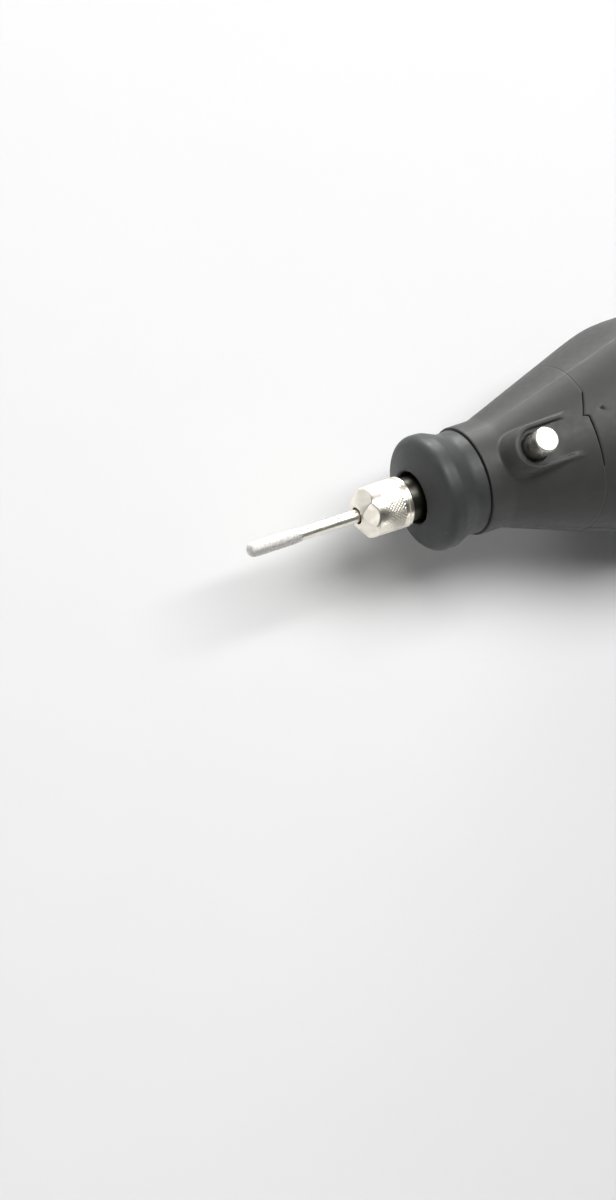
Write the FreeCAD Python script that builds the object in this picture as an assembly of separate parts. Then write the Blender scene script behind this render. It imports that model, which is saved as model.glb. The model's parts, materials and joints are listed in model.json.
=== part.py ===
import FreeCAD, Part
import math
import os

# Hand-held electric nail drill. Millimetres.
#
# Everything is drawn in the spindle's frame: X runs along the spindle from the burr (-X) to the
# rear cap (+X), x = 0 is the seam between nose cap and front housing, and +Z is the side with the
# spindle lock pin. At the end each piece is set down so that the belly pad rests on z = 0.

V = FreeCAD.Vector

# --- placing on the table
AXIS_HEIGHT = 20.4          # spindle axis above the surface the tool lies on
ORIGIN_X = 78.0             # the belly pad's middle, behind the cap seam

# --- burr and collet
SHANK_RADIUS = 2.35 / 2     # 3/32 inch shank
BURR_TIP = -44.2
BURR_HEAD_LENGTH = 10.4
BURR_HEAD_RADIUS = 1.36
BURR_CORE_RADIUS = 0.95
SHANK_END = -2.2
NUT_FRONT = -22.1
NUT_REAR = -12.85
NUT_RADIUS = 4.55
NUT_FRONT_RADIUS = 2.35
NUT_FLAT_SLOPE = 1.0         # six flats taper the front of the nut
NUT_FLAT_ANGLE = 19.5
COLLET_RADIUS = 2.70
COLLET_BORE_RADIUS = SHANK_RADIUS + 0.025
COLLET_SLOT = 0.4

# --- nose cap
CAP_FRONT = -11.2
CAP_REAR = -0.15
CAP_RADIUS = 10.42
CAP_MOUTH_RADIUS = 4.75
CAP_BORE_RADIUS = 8.2

# --- housing skin
NECK_RADIUS = 9.9
CONE_START = 5.0
CONE_SLOPE = 0.33
NECK_BLEND = 0.3
SHOULDER_X = 35.6
SHOULDER_BLEND = 0.45
BARREL_RADIUS = 19.6
TAIL_START = 60.0
TAIL_TAPER = 0.00021        # shrink per mm squared behind TAIL_START
SHELL_END = 141.0
FACE_BULGE = 0.22           # how far each face's arc centre sits past the axis, as a share of radius
FACE_HALF_ANGLE = math.radians(34.7)
WALL = 2.2

# --- seam between front housing and the two shells, with its Z-shaped step
SEAM_X = 20.3
SEAM_STEP_Y = 2.3
SEAM_STEP = 1.0
SEAM_SLANT_Y = 6.3
SPIGOT_RADIUS = 12.6
SPIGOT_END = 25.5
SPIGOT_BORE = 10.6

# --- bearings 8 x 14 x 4
BEARING_BORE = 4.0
BEARING_RADIUS = 7.0
BEARING_WIDTH = 4.0
BEARING_PITCH = 5.5
BALL_RADIUS = 0.79
BALL_COUNT = 10
FRONT_BEARING_X = -4.5
REAR_BEARING_X = 13.8

# --- spindle lock
LOCK_X = 9.06
LOCK_PIN_RADIUS = 2.3
LOCK_PIN_TOP = 17.5
LOCK_FLANGE_RADIUS = 2.85
LOCK_FLANGE_TOP = 10.65
LOCK_FLANGE_BOTTOM = 9.9
LOCK_STEM_RADIUS = 1.1
LOCK_STEM_END = 5.5
LOCK_BORE_RADIUS = 2.95
LOCK_SEAT_BOTTOM = 5.9
LOCK_SEAT_TOP = 6.9
LOCK_COLLAR_RADIUS = 4.9
LOCK_SOCKET_RADIUS = 3.4
LOCK_HOLE_RADIUS = 2.62
PAD_HALF_WIDTH = 4.2
PAD_TOP = 13.25
PAD_FRONT = 4.85             # at the rim's top
PAD_FOOT = 3.4               # where the leaning front meets the neck
PAD_REAR = 17.5
PAD_FLOOR = 12.4             # flat floor inside the rim
RIM_INNER_X = 9.36           # centre of the rim's round inside
RIM_INNER_RADIUS = 3.4

# --- motor
CAN_RADIUS = 15.5
CAN_BORE = 14.3
CAN_FRONT = 42.0
CAN_REAR = 90.0
SHAFT_RADIUS = 2.0
SHAFT_FRONT = 27.0
SHAFT_REAR = 105.2
CORE_RADIUS = 11.7
CORE_FRONT = 50.0
CORE_REAR = 80.0
CORE_SLOTS = 12
COMMUTATOR_RADIUS = 4.5
COMMUTATOR_FRONT = 89.5
COMMUTATOR_REAR = 98.5
END_BELL_REAR = 105.0
BRUSH_X = 94.0
FAN_RADIUS = 13.5
FAN_FRONT = 34.0
FAN_REAR = 40.0
FAN_BLADES = 9

# --- controls
SWITCH_X = 113.5
SWITCH_TRAVEL = 4.0
DIAL_X = 128.0
DIAL_Z = 12.6
DIAL_RADIUS = 7.2
DIAL_HALF_WIDTH = 2.5
BOARD_TOP = -2.0
BOARD_THICKNESS = 1.6
BOARD_FRONT = 107.0
BOARD_REAR = 134.5
BOARD_HALF_WIDTH = 8.8
BOARD_SCREW_X = (110.5, 131.0)
BOARD_SCREW_Y = 5.6

# --- screws, rear cap, gland, belly pad
SHELL_SCREWS = [(29.5, 10.6), (118.0, 12.4)]
BOSS_RADIUS = 2.9
REAR_CAP_END = 151.0
GLAND_BORE_RADIUS = 3.1
GLAND_FRONT = 147.0
GLAND_REAR = 157.0
PAD_FOOT_FRONT = 48.0
PAD_FOOT_REAR = 108.0
PAD_FOOT_HALF_WIDTH = 7.0
PAD_FOOT_TOP = -18.3


# ---------------------------------------------------------------- drawing helpers

def bar(radius, x0, x1, y=0.0, z=0.0):
    """Cylinder along X."""
    return Part.makeCylinder(radius, x1 - x0, V(x0, y, z), V(1, 0, 0))


def post(radius, z0, z1, x, y=0.0):
    """Cylinder along Z."""
    return Part.makeCylinder(radius, z1 - z0, V(x, y, z0), V(0, 0, 1))


def peg(radius, y0, y1, x, z=0.0):
    """Cylinder along Y."""
    return Part.makeCylinder(radius, y1 - y0, V(x, y0, z), V(0, 1, 0))


def block(x0, x1, y0, y1, z0, z1):
    return Part.makeBox(x1 - x0, y1 - y0, z1 - z0, V(x0, y0, z0))


def ring(outer, inner, x0, x1):
    """Tube along X."""
    return bar(outer, x0, x1).cut(bar(inner, x0 - 1, x1 + 1))


def round_slot(x0, x1, half_width, z0, z1):
    """Upright prism with a round front and rear, its straight sides along X."""
    middle = block(x0 + half_width, x1 - half_width, -half_width, half_width, z0, z1)
    front = post(half_width, z0, z1, x0 + half_width)
    rear = post(half_width, z0, z1, x1 - half_width)
    return middle.fuse([front, rear]).removeSplitter()


def rounded_face(points):
    """Face in the XZ plane from (x, z, corner radius) points."""
    ends = []
    arcs = []
    for i, (x, z, radius) in enumerate(points):
        here = V(x, 0, z)
        if radius == 0:
            ends.append((here, here))
            arcs.append(None)
            continue
        x_before, z_before, _ = points[i - 1]
        x_after, z_after, _ = points[(i + 1) % len(points)]
        back = (V(x_before, 0, z_before) - here).normalize()
        ahead = (V(x_after, 0, z_after) - here).normalize()
        half = back.getAngle(ahead) / 2
        reach = radius / math.tan(half)
        start = here + back * reach
        end = here + ahead * reach
        bisector = (back + ahead).normalize()
        middle = here + bisector * (radius / math.sin(half) - radius)
        ends.append((start, end))
        arcs.append(Part.Arc(start, middle, end).toShape())
    edges = []
    for i, arc in enumerate(arcs):
        if arc is not None:
            edges.append(arc)
        leave = ends[i][1]
        arrive = ends[(i + 1) % len(ends)][0]
        if leave.distanceToPoint(arrive) > 1e-6:
            edges.append(Part.LineSegment(leave, arrive).toShape())
    return Part.Face(Part.Wire(Part.__sortEdges__(edges)))


def turned(points):
    """Solid of revolution about the spindle axis from (x, radius, corner radius) points."""
    return rounded_face(points).revolve(V(0, 0, 0), V(1, 0, 0), 360)


def about_axis(shape, degrees):
    """Copy of a shape, turned about the spindle axis."""
    copy = shape.copy()
    copy.rotate(V(0, 0, 0), V(1, 0, 0), degrees)
    return copy


def around(shape, count, start=0.0):
    """Evenly spaced copies round the spindle axis."""
    return [about_axis(shape, start + 360.0 * i / count) for i in range(count)]


def mirrored(shape):
    """Both a shape and its mirror image across the middle plane y = 0."""
    return [shape, shape.mirror(V(0, 0, 0), V(0, 1, 0))]


def coil(radius, wire, length, turns):
    """Compression spring standing on z = 0, its ends inside the given length."""
    pitch = (length - 2 * wire) / turns
    helix = Part.makeHelix(pitch, length - 2 * wire, radius)
    circle = Part.Wire(Part.makeCircle(wire, V(radius, 0, 0), V(0, 1, 0)))
    spring = Part.Wire(helix.Edges).makePipeShell([circle], True, True)
    spring.translate(V(0, 0, wire))
    return spring


# ---------------------------------------------------------------- housing skin

def skin_radius(x):
    """Distance from the axis to the middle of each of the housing's four faces."""
    ramp = CONE_SLOPE * NECK_BLEND * math.log1p(math.exp((x - CONE_START) / NECK_BLEND))
    cone = NECK_RADIUS + ramp
    barrel = BARREL_RADIUS - TAIL_TAPER * max(0.0, x - TAIL_START) ** 2
    return barrel - SHOULDER_BLEND * math.log1p(math.exp((barrel - cone) / SHOULDER_BLEND))


def section(x, inset):
    """Outline of the housing at x: round at the neck, four soft faces at the shoulder."""
    radius = skin_radius(x) - inset
    squareness = min(1.0, max(0.0, (x - CONE_START) / (SHOULDER_X - CONE_START)))
    offset = FACE_BULGE * squareness * radius
    face_radius = radius + offset
    reach = offset / (math.cos(FACE_HALF_ANGLE) - math.sin(FACE_HALF_ANGLE))
    corner_radius = face_radius - reach
    corner_top = reach * math.sin(FACE_HALF_ANGLE) * math.sqrt(2) + corner_radius
    side = face_radius * math.sin(FACE_HALF_ANGLE)
    height = face_radius * math.cos(FACE_HALF_ANGLE) - offset
    edges = []
    for quarter in range(4):
        turn = math.pi / 2 * quarter

        def at(across, up, turn=turn):
            y = across * math.cos(turn) + up * math.sin(turn)
            z = up * math.cos(turn) - across * math.sin(turn)
            return V(x, y, z)

        diagonal = corner_top / math.sqrt(2)
        edges.append(Part.Arc(at(-side, height), at(0, radius), at(side, height)).toShape())
        corner = Part.Arc(at(side, height), at(diagonal, diagonal), at(height, side))
        edges.append(corner.toShape())
    return Part.Wire(edges)


def skin(inset=0.0):
    """Solid filled out to the housing's skin, or to a surface inside it."""
    stations = [float(i) for i in range(0, 9)]
    stations += [8.0 + 2.25 * i for i in range(1, 17)]
    stations += [44.0 + 9.7 * i for i in range(1, 11)]
    return Part.makeLoft([section(x, inset) for x in stations], True, False)


def ahead_of_seam():
    """Everything in front of the stepped seam."""
    far = 40.0
    slant_x = SEAM_X + SEAM_STEP
    corners = [
        (-far, -far), (SEAM_X, -far), (SEAM_X, SEAM_STEP_Y), (SEAM_X - SEAM_STEP, SEAM_STEP_Y),
        (slant_x, SEAM_SLANT_Y), (slant_x, far), (-far, far), (-far, -far),
    ]
    outline = Part.makePolygon([V(x, y, -far) for x, y in corners])
    return Part.Face(outline).extrude(V(0, 0, 2 * far))


# ---------------------------------------------------------------- burr, collet, spindle

def burr_shank():
    neck = BURR_TIP + BURR_HEAD_LENGTH
    return turned([
        (BURR_TIP + 1.0, 0, 0), (BURR_TIP + 1.0, BURR_CORE_RADIUS, 0.4), (neck, BURR_CORE_RADIUS, 0),
        (neck, SHANK_RADIUS, 0), (SHANK_END, SHANK_RADIUS, 0.3), (SHANK_END, 0, 0),
    ])


def burr_head():
    neck = BURR_TIP + BURR_HEAD_LENGTH
    head = turned([
        (BURR_TIP, 0, 0), (BURR_TIP, BURR_HEAD_RADIUS, BURR_HEAD_RADIUS - 0.06),
        (neck, BURR_HEAD_RADIUS, 0.2), (neck, 0, 0),
    ])
    return head.cut(burr_shank())


def collet():
    body = turned([
        (-20.6, COLLET_BORE_RADIUS, 0), (-20.6, 1.65, 0), (-18.0, COLLET_RADIUS, 0.3),
        (-5.2, COLLET_RADIUS, 0.2), (-5.2, COLLET_BORE_RADIUS, 0),
    ])
    slot = block(-22, -8.0, -COLLET_SLOT / 2, COLLET_SLOT / 2, 0, COLLET_RADIUS + 1)
    return body.cut(around(slot, 3, 60))


def collet_nut():
    nut = turned([
        (NUT_FRONT, 1.5, 0), (NUT_FRONT, NUT_FRONT_RADIUS, 0.12), (-20.75, 4.35, 0.3),
        (-19.9, NUT_RADIUS, 0.4), (-14.35, NUT_RADIUS, 0.05), (-14.2, NUT_RADIUS - 0.25, 0),
        (-13.8, NUT_RADIUS - 0.25, 0), (-13.65, NUT_RADIUS, 0.05), (NUT_REAR, NUT_RADIUS, 0.25),
        (NUT_REAR, 3.75, 0), (-17.3, 3.75, 0), (-17.3, 2.85, 0), (-18.2, 2.85, 0),
        (-20.9, 1.75, 0), (-20.9, 1.5, 0),
    ])
    front, rear = NUT_FRONT - 1, NUT_FRONT + 3.5
    low = NUT_FRONT_RADIUS - NUT_FLAT_SLOPE
    high = NUT_FRONT_RADIUS + 3.5 * NUT_FLAT_SLOPE
    corners = [V(front, -6, low), V(rear, -6, high), V(front, -6, high), V(front, -6, low)]
    outside = Part.Face(Part.makePolygon(corners)).extrude(V(0, 12, 0))
    return nut.cut(around(outside, 6, NUT_FLAT_ANGLE))


def spindle():
    body = turned([
        (-17.0, 2.75, 0), (-17.0, 3.68, 0.3), (-12.6, 3.68, 0), (-12.6, 3.95, 0.15),
        (-4.6, 3.95, 0), (-4.6, BEARING_BORE, 0), (-0.4, BEARING_BORE, 0), (-0.4, 4.6, 0),
        (6.0, 4.6, 0), (6.0, LOCK_COLLAR_RADIUS, 0.2), (12.2, LOCK_COLLAR_RADIUS, 0.2),
        (12.2, 4.6, 0), (13.7, 4.6, 0), (13.7, BEARING_BORE, 0), (18.0, BEARING_BORE, 0),
        (18.0, 3.4, 0.2), (21.0, 3.4, 0.2), (21.0, 0, 0), (-1.6, 0, 0), (-1.6, 1.25, 0),
        (-5.0, 1.25, 0), (-5.0, 2.75, 0),
    ])
    hexagon = [
        V(21.0, 2.89 * math.cos(math.radians(60 * i)), 2.89 * math.sin(math.radians(60 * i)))
        for i in range(7)
    ]
    tail = Part.Face(Part.makePolygon(hexagon)).extrude(V(5.8, 0, 0))
    hole = post(1.3, LOCK_SOCKET_RADIUS, LOCK_COLLAR_RADIUS + 1, LOCK_X)
    return body.fuse(tail).cut(around(hole, 4))


# ---------------------------------------------------------------- ball bearings

def bearing_track(x):
    """Groove that the balls run in."""
    middle = x + BEARING_WIDTH / 2
    return Part.makeTorus(BEARING_PITCH, BALL_RADIUS + 0.06, V(middle, 0, 0), V(1, 0, 0))


def bearing_inner_race(x):
    race = ring(BEARING_PITCH - 0.5, BEARING_BORE, x, x + BEARING_WIDTH)
    return race.cut(bearing_track(x))


def bearing_outer_race(x):
    race = ring(BEARING_RADIUS, BEARING_PITCH + 0.5, x, x + BEARING_WIDTH)
    return race.cut(bearing_track(x))


def bearing_balls(x):
    ball = Part.makeSphere(BALL_RADIUS, V(x + BEARING_WIDTH / 2, 0, BEARING_PITCH))
    return Part.makeCompound(around(ball, BALL_COUNT))


def bearing_cage(x):
    middle = x + BEARING_WIDTH / 2
    cage = ring(BEARING_PITCH + 0.3, BEARING_PITCH - 0.3, middle - 1.1, middle + 1.1)
    pocket = Part.makeSphere(BALL_RADIUS + 0.04, V(middle, 0, BEARING_PITCH))
    return cage.cut(around(pocket, BALL_COUNT))


def bearing_shields(x):
    outer = BEARING_PITCH + 0.5
    inner = BEARING_PITCH - 0.4
    front = ring(outer, inner, x + 0.1, x + 0.35)
    rear = ring(outer, inner, x + BEARING_WIDTH - 0.35, x + BEARING_WIDTH - 0.1)
    return Part.makeCompound([front, rear])


# ---------------------------------------------------------------- nose cap, front housing, lock

def nose_cap():
    return turned([
        (CAP_FRONT, CAP_MOUTH_RADIUS, 0.45), (-8.75, CAP_RADIUS + 0.08, 2.0),
        (-5.9, CAP_RADIUS + 0.03, 2.0), (-2.7, 9.25, 3.0), (CAP_REAR, 9.45, 0.15),
        (CAP_REAR, CAP_BORE_RADIUS, 0), (-8.4, CAP_BORE_RADIUS, 0.6),
        (-8.4, CAP_MOUTH_RADIUS, 0.3),
    ])


def pad_outline(middle, z):
    """Outline of the pad at height z, with a round front about x = middle."""
    side = PAD_HALF_WIDTH
    front = Part.Arc(V(middle, -side, z), V(middle - side, 0, z), V(middle, side, z)).toShape()
    rear = Part.makePolygon([
        V(middle, side, z), V(PAD_REAR, side, z), V(PAD_REAR, -side, z), V(middle, -side, z),
    ])
    return Part.Wire([front] + rear.Edges)


def guard_pad():
    """Raised pad round the lock pin: a leaning front, a flat floor and a rim open to the rear."""
    lean = (PAD_FRONT - PAD_FOOT) / (PAD_TOP - NECK_RADIUS)
    middle = PAD_FRONT + PAD_HALF_WIDTH
    outlines = [pad_outline(middle - lean * (PAD_TOP - z), z) for z in (7.0, PAD_TOP)]
    pad = Part.makeLoft(outlines, True, True)
    width = RIM_INNER_RADIUS
    inside = post(width, PAD_FLOOR, PAD_TOP + 1, RIM_INNER_X)
    inside = inside.fuse(block(RIM_INNER_X, PAD_REAR + 1, -width, width, PAD_FLOOR, PAD_TOP + 1))
    return pad.cut(inside)


def front_housing():
    body = skin().common(ahead_of_seam())
    body = body.fuse([bar(8.1, -6.0, 1.0), bar(SPIGOT_RADIUS, 18.5, SPIGOT_END), guard_pad()])
    body = body.cut([
        bar(5.7, -7.0, 14.5),
        bar(BEARING_RADIUS, -7.0, -0.5),
        bar(BEARING_RADIUS, REAR_BEARING_X, 19.0),
        bar(SPIGOT_BORE, 17.8, SPIGOT_END + 1),
        post(LOCK_HOLE_RADIUS, 5.0, PAD_FLOOR + 1, LOCK_X),
        post(LOCK_BORE_RADIUS, 4.0, LOCK_FLANGE_TOP + 0.05, LOCK_X),
    ])
    for screw_hole in mirrored(bar(0.8, 14.5, 18.0, 8.8)):
        body = body.cut(screw_hole)
    return body


def front_retainer_ring():
    """Snap ring that holds the front bearing in the housing's threaded boss."""
    gap = block(-6, -4, -1.5, 1.5, -9, 0)
    return ring(BEARING_RADIUS, 6.1, -5.4, -4.55).cut(gap)


def bearing_retainer():
    """Plate behind the rear spindle bearing."""
    plate = ring(SPIGOT_BORE - 0.1, 5.1, 17.8, 19.4)
    for hole in mirrored(bar(1.1, 17.0, 20.0, 8.8)):
        plate = plate.cut(hole)
    return plate


def retainer_screws():
    screw = bar(0.8, 14.6, 19.4, 8.8).fuse(bar(1.5, 19.4, 20.4, 8.8))
    screw = screw.cut(block(20.0, 20.6, 7.0, 10.6, -0.2, 0.2))
    return Part.makeCompound(mirrored(screw))


def lock_pin():
    head = post(LOCK_PIN_RADIUS, LOCK_FLANGE_TOP, LOCK_PIN_TOP, LOCK_X)
    rim = [edge for edge in head.Edges if abs(edge.CenterOfMass.z - LOCK_PIN_TOP) < 1e-6]
    head = head.makeChamfer(0.3, rim)
    flange = post(LOCK_FLANGE_RADIUS, LOCK_FLANGE_BOTTOM, LOCK_FLANGE_TOP, LOCK_X)
    stem = post(LOCK_STEM_RADIUS, LOCK_STEM_END, LOCK_FLANGE_BOTTOM, LOCK_X)
    return head.fuse([flange, stem]).removeSplitter()


def lock_pin_spring():
    spring = coil(2.1, 0.2, LOCK_FLANGE_BOTTOM - LOCK_SEAT_TOP, 3)
    spring.translate(V(LOCK_X, 0, LOCK_SEAT_TOP))
    return spring


def lock_spring_seat():
    seat = post(LOCK_BORE_RADIUS, LOCK_SEAT_BOTTOM, LOCK_SEAT_TOP, LOCK_X)
    return seat.cut(post(LOCK_STEM_RADIUS + 0.08, 0, LOCK_SEAT_TOP + 1, LOCK_X))


# ---------------------------------------------------------------- drive and motor

def drive_coupling():
    body = turned([
        (21.8, 0, 0), (21.8, 5.4, 0.5), (26.4, 5.4, 0), (26.4, 4.7, 0), (27.4, 4.7, 0),
        (27.4, 5.4, 0), (32.6, 5.4, 0.5), (32.6, 0, 0),
    ])
    return body.cut([spindle(), bar(SHAFT_RADIUS, SHAFT_FRONT, 40)])


def cooling_fan():
    hub = bar(4.2, FAN_FRONT, FAN_REAR)
    plate = bar(FAN_RADIUS, FAN_REAR - 1.0, FAN_REAR)
    blade = block(FAN_FRONT - 1, FAN_REAR - 0.5, -0.5, 0.5, 3.8, FAN_RADIUS + 1)
    blade.rotate(V(FAN_REAR - 3, 0, 4.0), V(0, 0, 1), 18)
    fan = hub.fuse([plate] + around(blade, FAN_BLADES))
    return fan.common(bar(FAN_RADIUS, FAN_FRONT, FAN_REAR)).cut(motor_shaft())


def motor_shaft():
    return bar(SHAFT_RADIUS, SHAFT_FRONT, SHAFT_REAR)


def motor_can():
    can = turned([
        (CAN_FRONT, 0, 0), (CAN_FRONT, CAN_RADIUS, 1.5), (CAN_REAR, CAN_RADIUS, 0),
        (CAN_REAR, CAN_BORE, 0), (CAN_FRONT + 4.6, CAN_BORE, 0.5), (CAN_FRONT + 4.6, 0, 0),
    ])
    recess = ring(CAN_BORE, 7.4, CAN_FRONT + 1.2, CAN_FRONT + 4.7)
    port = bar(1.6, CAN_FRONT - 1, CAN_FRONT + 2, 0, 10.6)
    seat = bar(6.0, CAN_FRONT + 0.6, CAN_FRONT + 5)
    return can.cut([recess, seat, bar(3.0, CAN_FRONT - 1, CAN_FRONT + 2)] + around(port, 6, 30))


def motor_magnets():
    sector = ring(CAN_BORE, 12.3, 48.0, 82.0).common(block(47, 83, 3.6, 20, -20, 20))
    return Part.makeCompound(mirrored(sector))


def armature_slot():
    return block(CORE_FRONT - 1, CORE_REAR + 1, -0.9, 0.9, 6.0, 12.5)


def armature_core():
    core = bar(CORE_RADIUS, CORE_FRONT, CORE_REAR)
    return core.cut(around(armature_slot(), CORE_SLOTS) + [motor_shaft()])


def armature_windings():
    """Two end turns of copper, joined by the bars that lie in the core's slots."""
    front = turned([
        (47.4, 4.6, 0.8), (47.4, 10.4, 1.2), (CORE_FRONT, 10.8, 0), (CORE_FRONT, 4.6, 0),
    ])
    rear = turned([
        (CORE_REAR, 4.6, 0), (CORE_REAR, 10.8, 0), (84.0, 10.0, 1.4), (84.0, 4.6, 0.8),
    ])
    strand = block(CORE_FRONT, CORE_REAR, -0.85, 0.85, 6.05, 10.8)
    return front.fuse([rear] + around(strand, CORE_SLOTS))


def commutator():
    body = ring(COMMUTATOR_RADIUS, SHAFT_RADIUS, COMMUTATOR_FRONT, COMMUTATOR_REAR)
    riser = ring(5.6, SHAFT_RADIUS, COMMUTATOR_FRONT - 1.6, COMMUTATOR_FRONT)
    gap = block(COMMUTATOR_FRONT - 3, COMMUTATOR_REAR + 1, -0.15, 0.15, 3.9, 6.5)
    return body.fuse(riser).cut(around(gap, CORE_SLOTS, 15))


def motor_bearing(x):
    """Small shielded bearing, its two races and shields closed into one ring."""
    body = ring(6.0, SHAFT_RADIUS + 0.02, x, x + BEARING_WIDTH)
    return body.cut([ring(4.9, 3.1, x - 0.1, x + 0.2), ring(4.9, 3.1, x + 3.8, x + 4.1)])


def brush_window():
    return block(BRUSH_X - 2.6, BRUSH_X + 2.6, 4, 20, -3.6, 3.6)


def motor_end_bell():
    bell = turned([
        (CAN_REAR, 13.2, 0), (CAN_REAR, CAN_RADIUS, 0), (END_BELL_REAR, CAN_RADIUS, 1.0),
        (END_BELL_REAR, 0, 0), (100.4, 0, 0), (100.4, 13.2, 0.8),
    ])
    vent = bar(1.7, 99, END_BELL_REAR + 1, 0, 10.0)
    cuts = [bar(6.0, 99, 104.4), bar(3.0, 99, END_BELL_REAR + 1)]
    return bell.cut(cuts + around(vent, 6, 30) + mirrored(brush_window()))


def brush_holders():
    tube = block(BRUSH_X - 2.5, BRUSH_X + 2.5, 6.6, 15.6, -3.5, 3.5)
    tube = tube.cut(block(BRUSH_X - 1.6, BRUSH_X + 1.6, 6, 20, -2.6, 2.6))
    return Part.makeCompound(mirrored(tube))


def carbon_brushes():
    brush = block(BRUSH_X - 1.5, BRUSH_X + 1.5, COMMUTATOR_RADIUS - 0.2, 9.8, -2.5, 2.5)
    brush = brush.cut(bar(COMMUTATOR_RADIUS + 0.05, BRUSH_X - 3, BRUSH_X + 3))
    return Part.makeCompound(mirrored(brush))


def brush_springs():
    spring = coil(1.1, 0.2, 5.8, 6)
    spring.rotate(V(0, 0, 0), V(1, 0, 0), -90)
    spring.translate(V(BRUSH_X, 9.8, 0))
    return Part.makeCompound(mirrored(spring))


def brush_cap_hole(radius):
    return peg(radius, 12, 25, BRUSH_X)


def brush_caps():
    """Slotted screw-in caps, flush with the sides of the housing."""
    cap = peg(4.2, 15.6, 19.1, BRUSH_X)
    cap = cap.cut(block(BRUSH_X - 3.4, BRUSH_X + 3.4, 18.0, 20, -0.5, 0.5))
    return Part.makeCompound(mirrored(cap))


# ---------------------------------------------------------------- shells

def screw_boss(x, y):
    return post(BOSS_RADIUS, -16, 16, x, y)


def screw_clearance(x, y):
    """Through hole with a counterbore for the head, from below, and the thread's pilot."""
    head = post(2.9, -25, -8.6, x, y)
    shank = post(1.5, -10, 7.0, x, y)
    return [head, shank]


def boss_places():
    return [(x, side * y) for x, y in SHELL_SCREWS for side in (-1, 1)]


def cradle(x):
    """Rib round the motor."""
    return bar(BARREL_RADIUS, x, x + 2.0).cut(bar(CAN_RADIUS + 0.05, x - 1, x + 3))


def shell_blank():
    """Both shells as one hollow body, with bosses and motor ribs."""
    outside = skin()
    inside = skin(WALL)
    wall = outside.cut(inside)
    fittings = [screw_boss(x, y) for x, y in boss_places()]
    fittings += [cradle(48.0), cradle(86.0)]
    inner = [fitting.common(inside) for fitting in fittings]
    blank = wall.fuse(inner)
    cuts = [ahead_of_seam(), bar(SPIGOT_RADIUS + 0.05, 15, SPIGOT_END + 0.1)]
    for x, y in boss_places():
        cuts += screw_clearance(x, y)
    for hole in mirrored(brush_cap_hole(4.3)):
        cuts.append(hole)
    return blank.cut(cuts)


def exhaust_slots():
    """Slanting air outlets beside the fan, low on both flanks."""
    slots = []
    for i in range(4):
        slot = block(0, 9.0, 8.0, 22.0, -0.9, 0.9)
        slot.translate(V(34.0 + 1.4 * i, 0, 0))
        slot.rotate(V(0, 0, 0), V(1, 0, 0), -26.0 - 9.5 * i)
        slots += mirrored(slot)
    return slots


def upper_shell(blank):
    shell = blank.common(block(0, 160, -30, 30, 0, 30))
    half_slot = SWITCH_TRAVEL / 2 + 4.2
    switch_slot = block(SWITCH_X - half_slot, SWITCH_X + half_slot, -2.7, 2.7, 12, 25)
    dial_slot = block(DIAL_X - 7.0, DIAL_X + 7.0, -2.9, 2.9, 12, 25)
    ear = block(DIAL_X - 3.0, DIAL_X + 3.0, -5.0, -3.4, 9.0, 25).common(skin(WALL))
    shell = shell.cut([switch_slot, dial_slot]).fuse(ear)
    return shell.cut(peg(1.05, -6, 0, DIAL_X, DIAL_Z))


def belly_pad():
    return round_slot(PAD_FOOT_FRONT, PAD_FOOT_REAR, PAD_FOOT_HALF_WIDTH, -AXIS_HEIGHT, PAD_FOOT_TOP)


def board_posts():
    return [(x, y) for x in BOARD_SCREW_X for y in (-BOARD_SCREW_Y, BOARD_SCREW_Y)]


def lower_shell(blank):
    shell = blank.common(block(0, 160, -30, 30, -30, 0))
    bottom = BOARD_TOP - BOARD_THICKNESS
    inside = skin(WALL)
    posts = [post(2.0, -20, bottom, x, y).common(inside) for x, y in board_posts()]
    shell = shell.fuse(posts)
    holes = [post(0.9, bottom - 6, 0, x, y) for x, y in board_posts()]
    return shell.cut(exhaust_slots() + [belly_pad()] + holes)


def shell_screws():
    screws = []
    for x, y in boss_places():
        screw = post(2.7, -10.8, -8.6, x, y).fuse(post(1.4, -8.6, 6.5, x, y))
        cross = block(x - 1.6, x + 1.6, y - 0.35, y + 0.35, -11, -10.0)
        other = block(x - 0.35, x + 0.35, y - 1.6, y + 1.6, -11, -10.0)
        screws.append(screw.cut([cross, other]))
    return Part.makeCompound(screws)


# ---------------------------------------------------------------- controls

def switch_body():
    body = block(SWITCH_X - 6.5, SWITCH_X + 5.5, -4, 4, 7.0, 14.0)
    tab = block(SWITCH_X - 5.0, SWITCH_X - 4.2, -0.6, 0.6, 4.0, 7.0)
    tabs = [tab.copy() for _ in range(3)]
    for i, copy in enumerate(tabs):
        copy.translate(V(4.2 * i, 0, 0))
    return body.fuse(tabs)


def switch_button():
    """Thumb slider: a plate under the shell and a ridged button above it."""
    plate = block(SWITCH_X - 7.5, SWITCH_X + 3.5, -4.6, 4.6, 14.3, 15.2)
    button = block(SWITCH_X - 6.0, SWITCH_X + 2.0, -2.5, 2.5, 15.0, 20.6)
    uprights = [edge for edge in button.Edges if abs(edge.BoundBox.ZLength - 5.6) < 1e-6]
    button = button.makeFillet(1.0, uprights)
    grooves = []
    for i in range(4):
        x = SWITCH_X - 4.7 + 1.6 * i
        grooves.append(block(x, x + 0.6, -3, 3, 20.1, 21))
    return plate.fuse(button).cut(grooves)


def speed_dial():
    wheel = peg(DIAL_RADIUS, -DIAL_HALF_WIDTH, DIAL_HALF_WIDTH, DIAL_X, DIAL_Z)
    wheel = wheel.makeChamfer(0.4, [edge for edge in wheel.Edges if edge.Closed])
    notches = []
    for i in range(24):
        notch = peg(0.45, -4, 4, DIAL_X, DIAL_Z + DIAL_RADIUS + 0.12)
        notch.rotate(V(DIAL_X, 0, DIAL_Z), V(0, 1, 0), 15.0 * i)
        notches.append(notch)
    return wheel.cut(notches + [peg(1.0, -4, 4, DIAL_X, DIAL_Z)])


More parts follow.
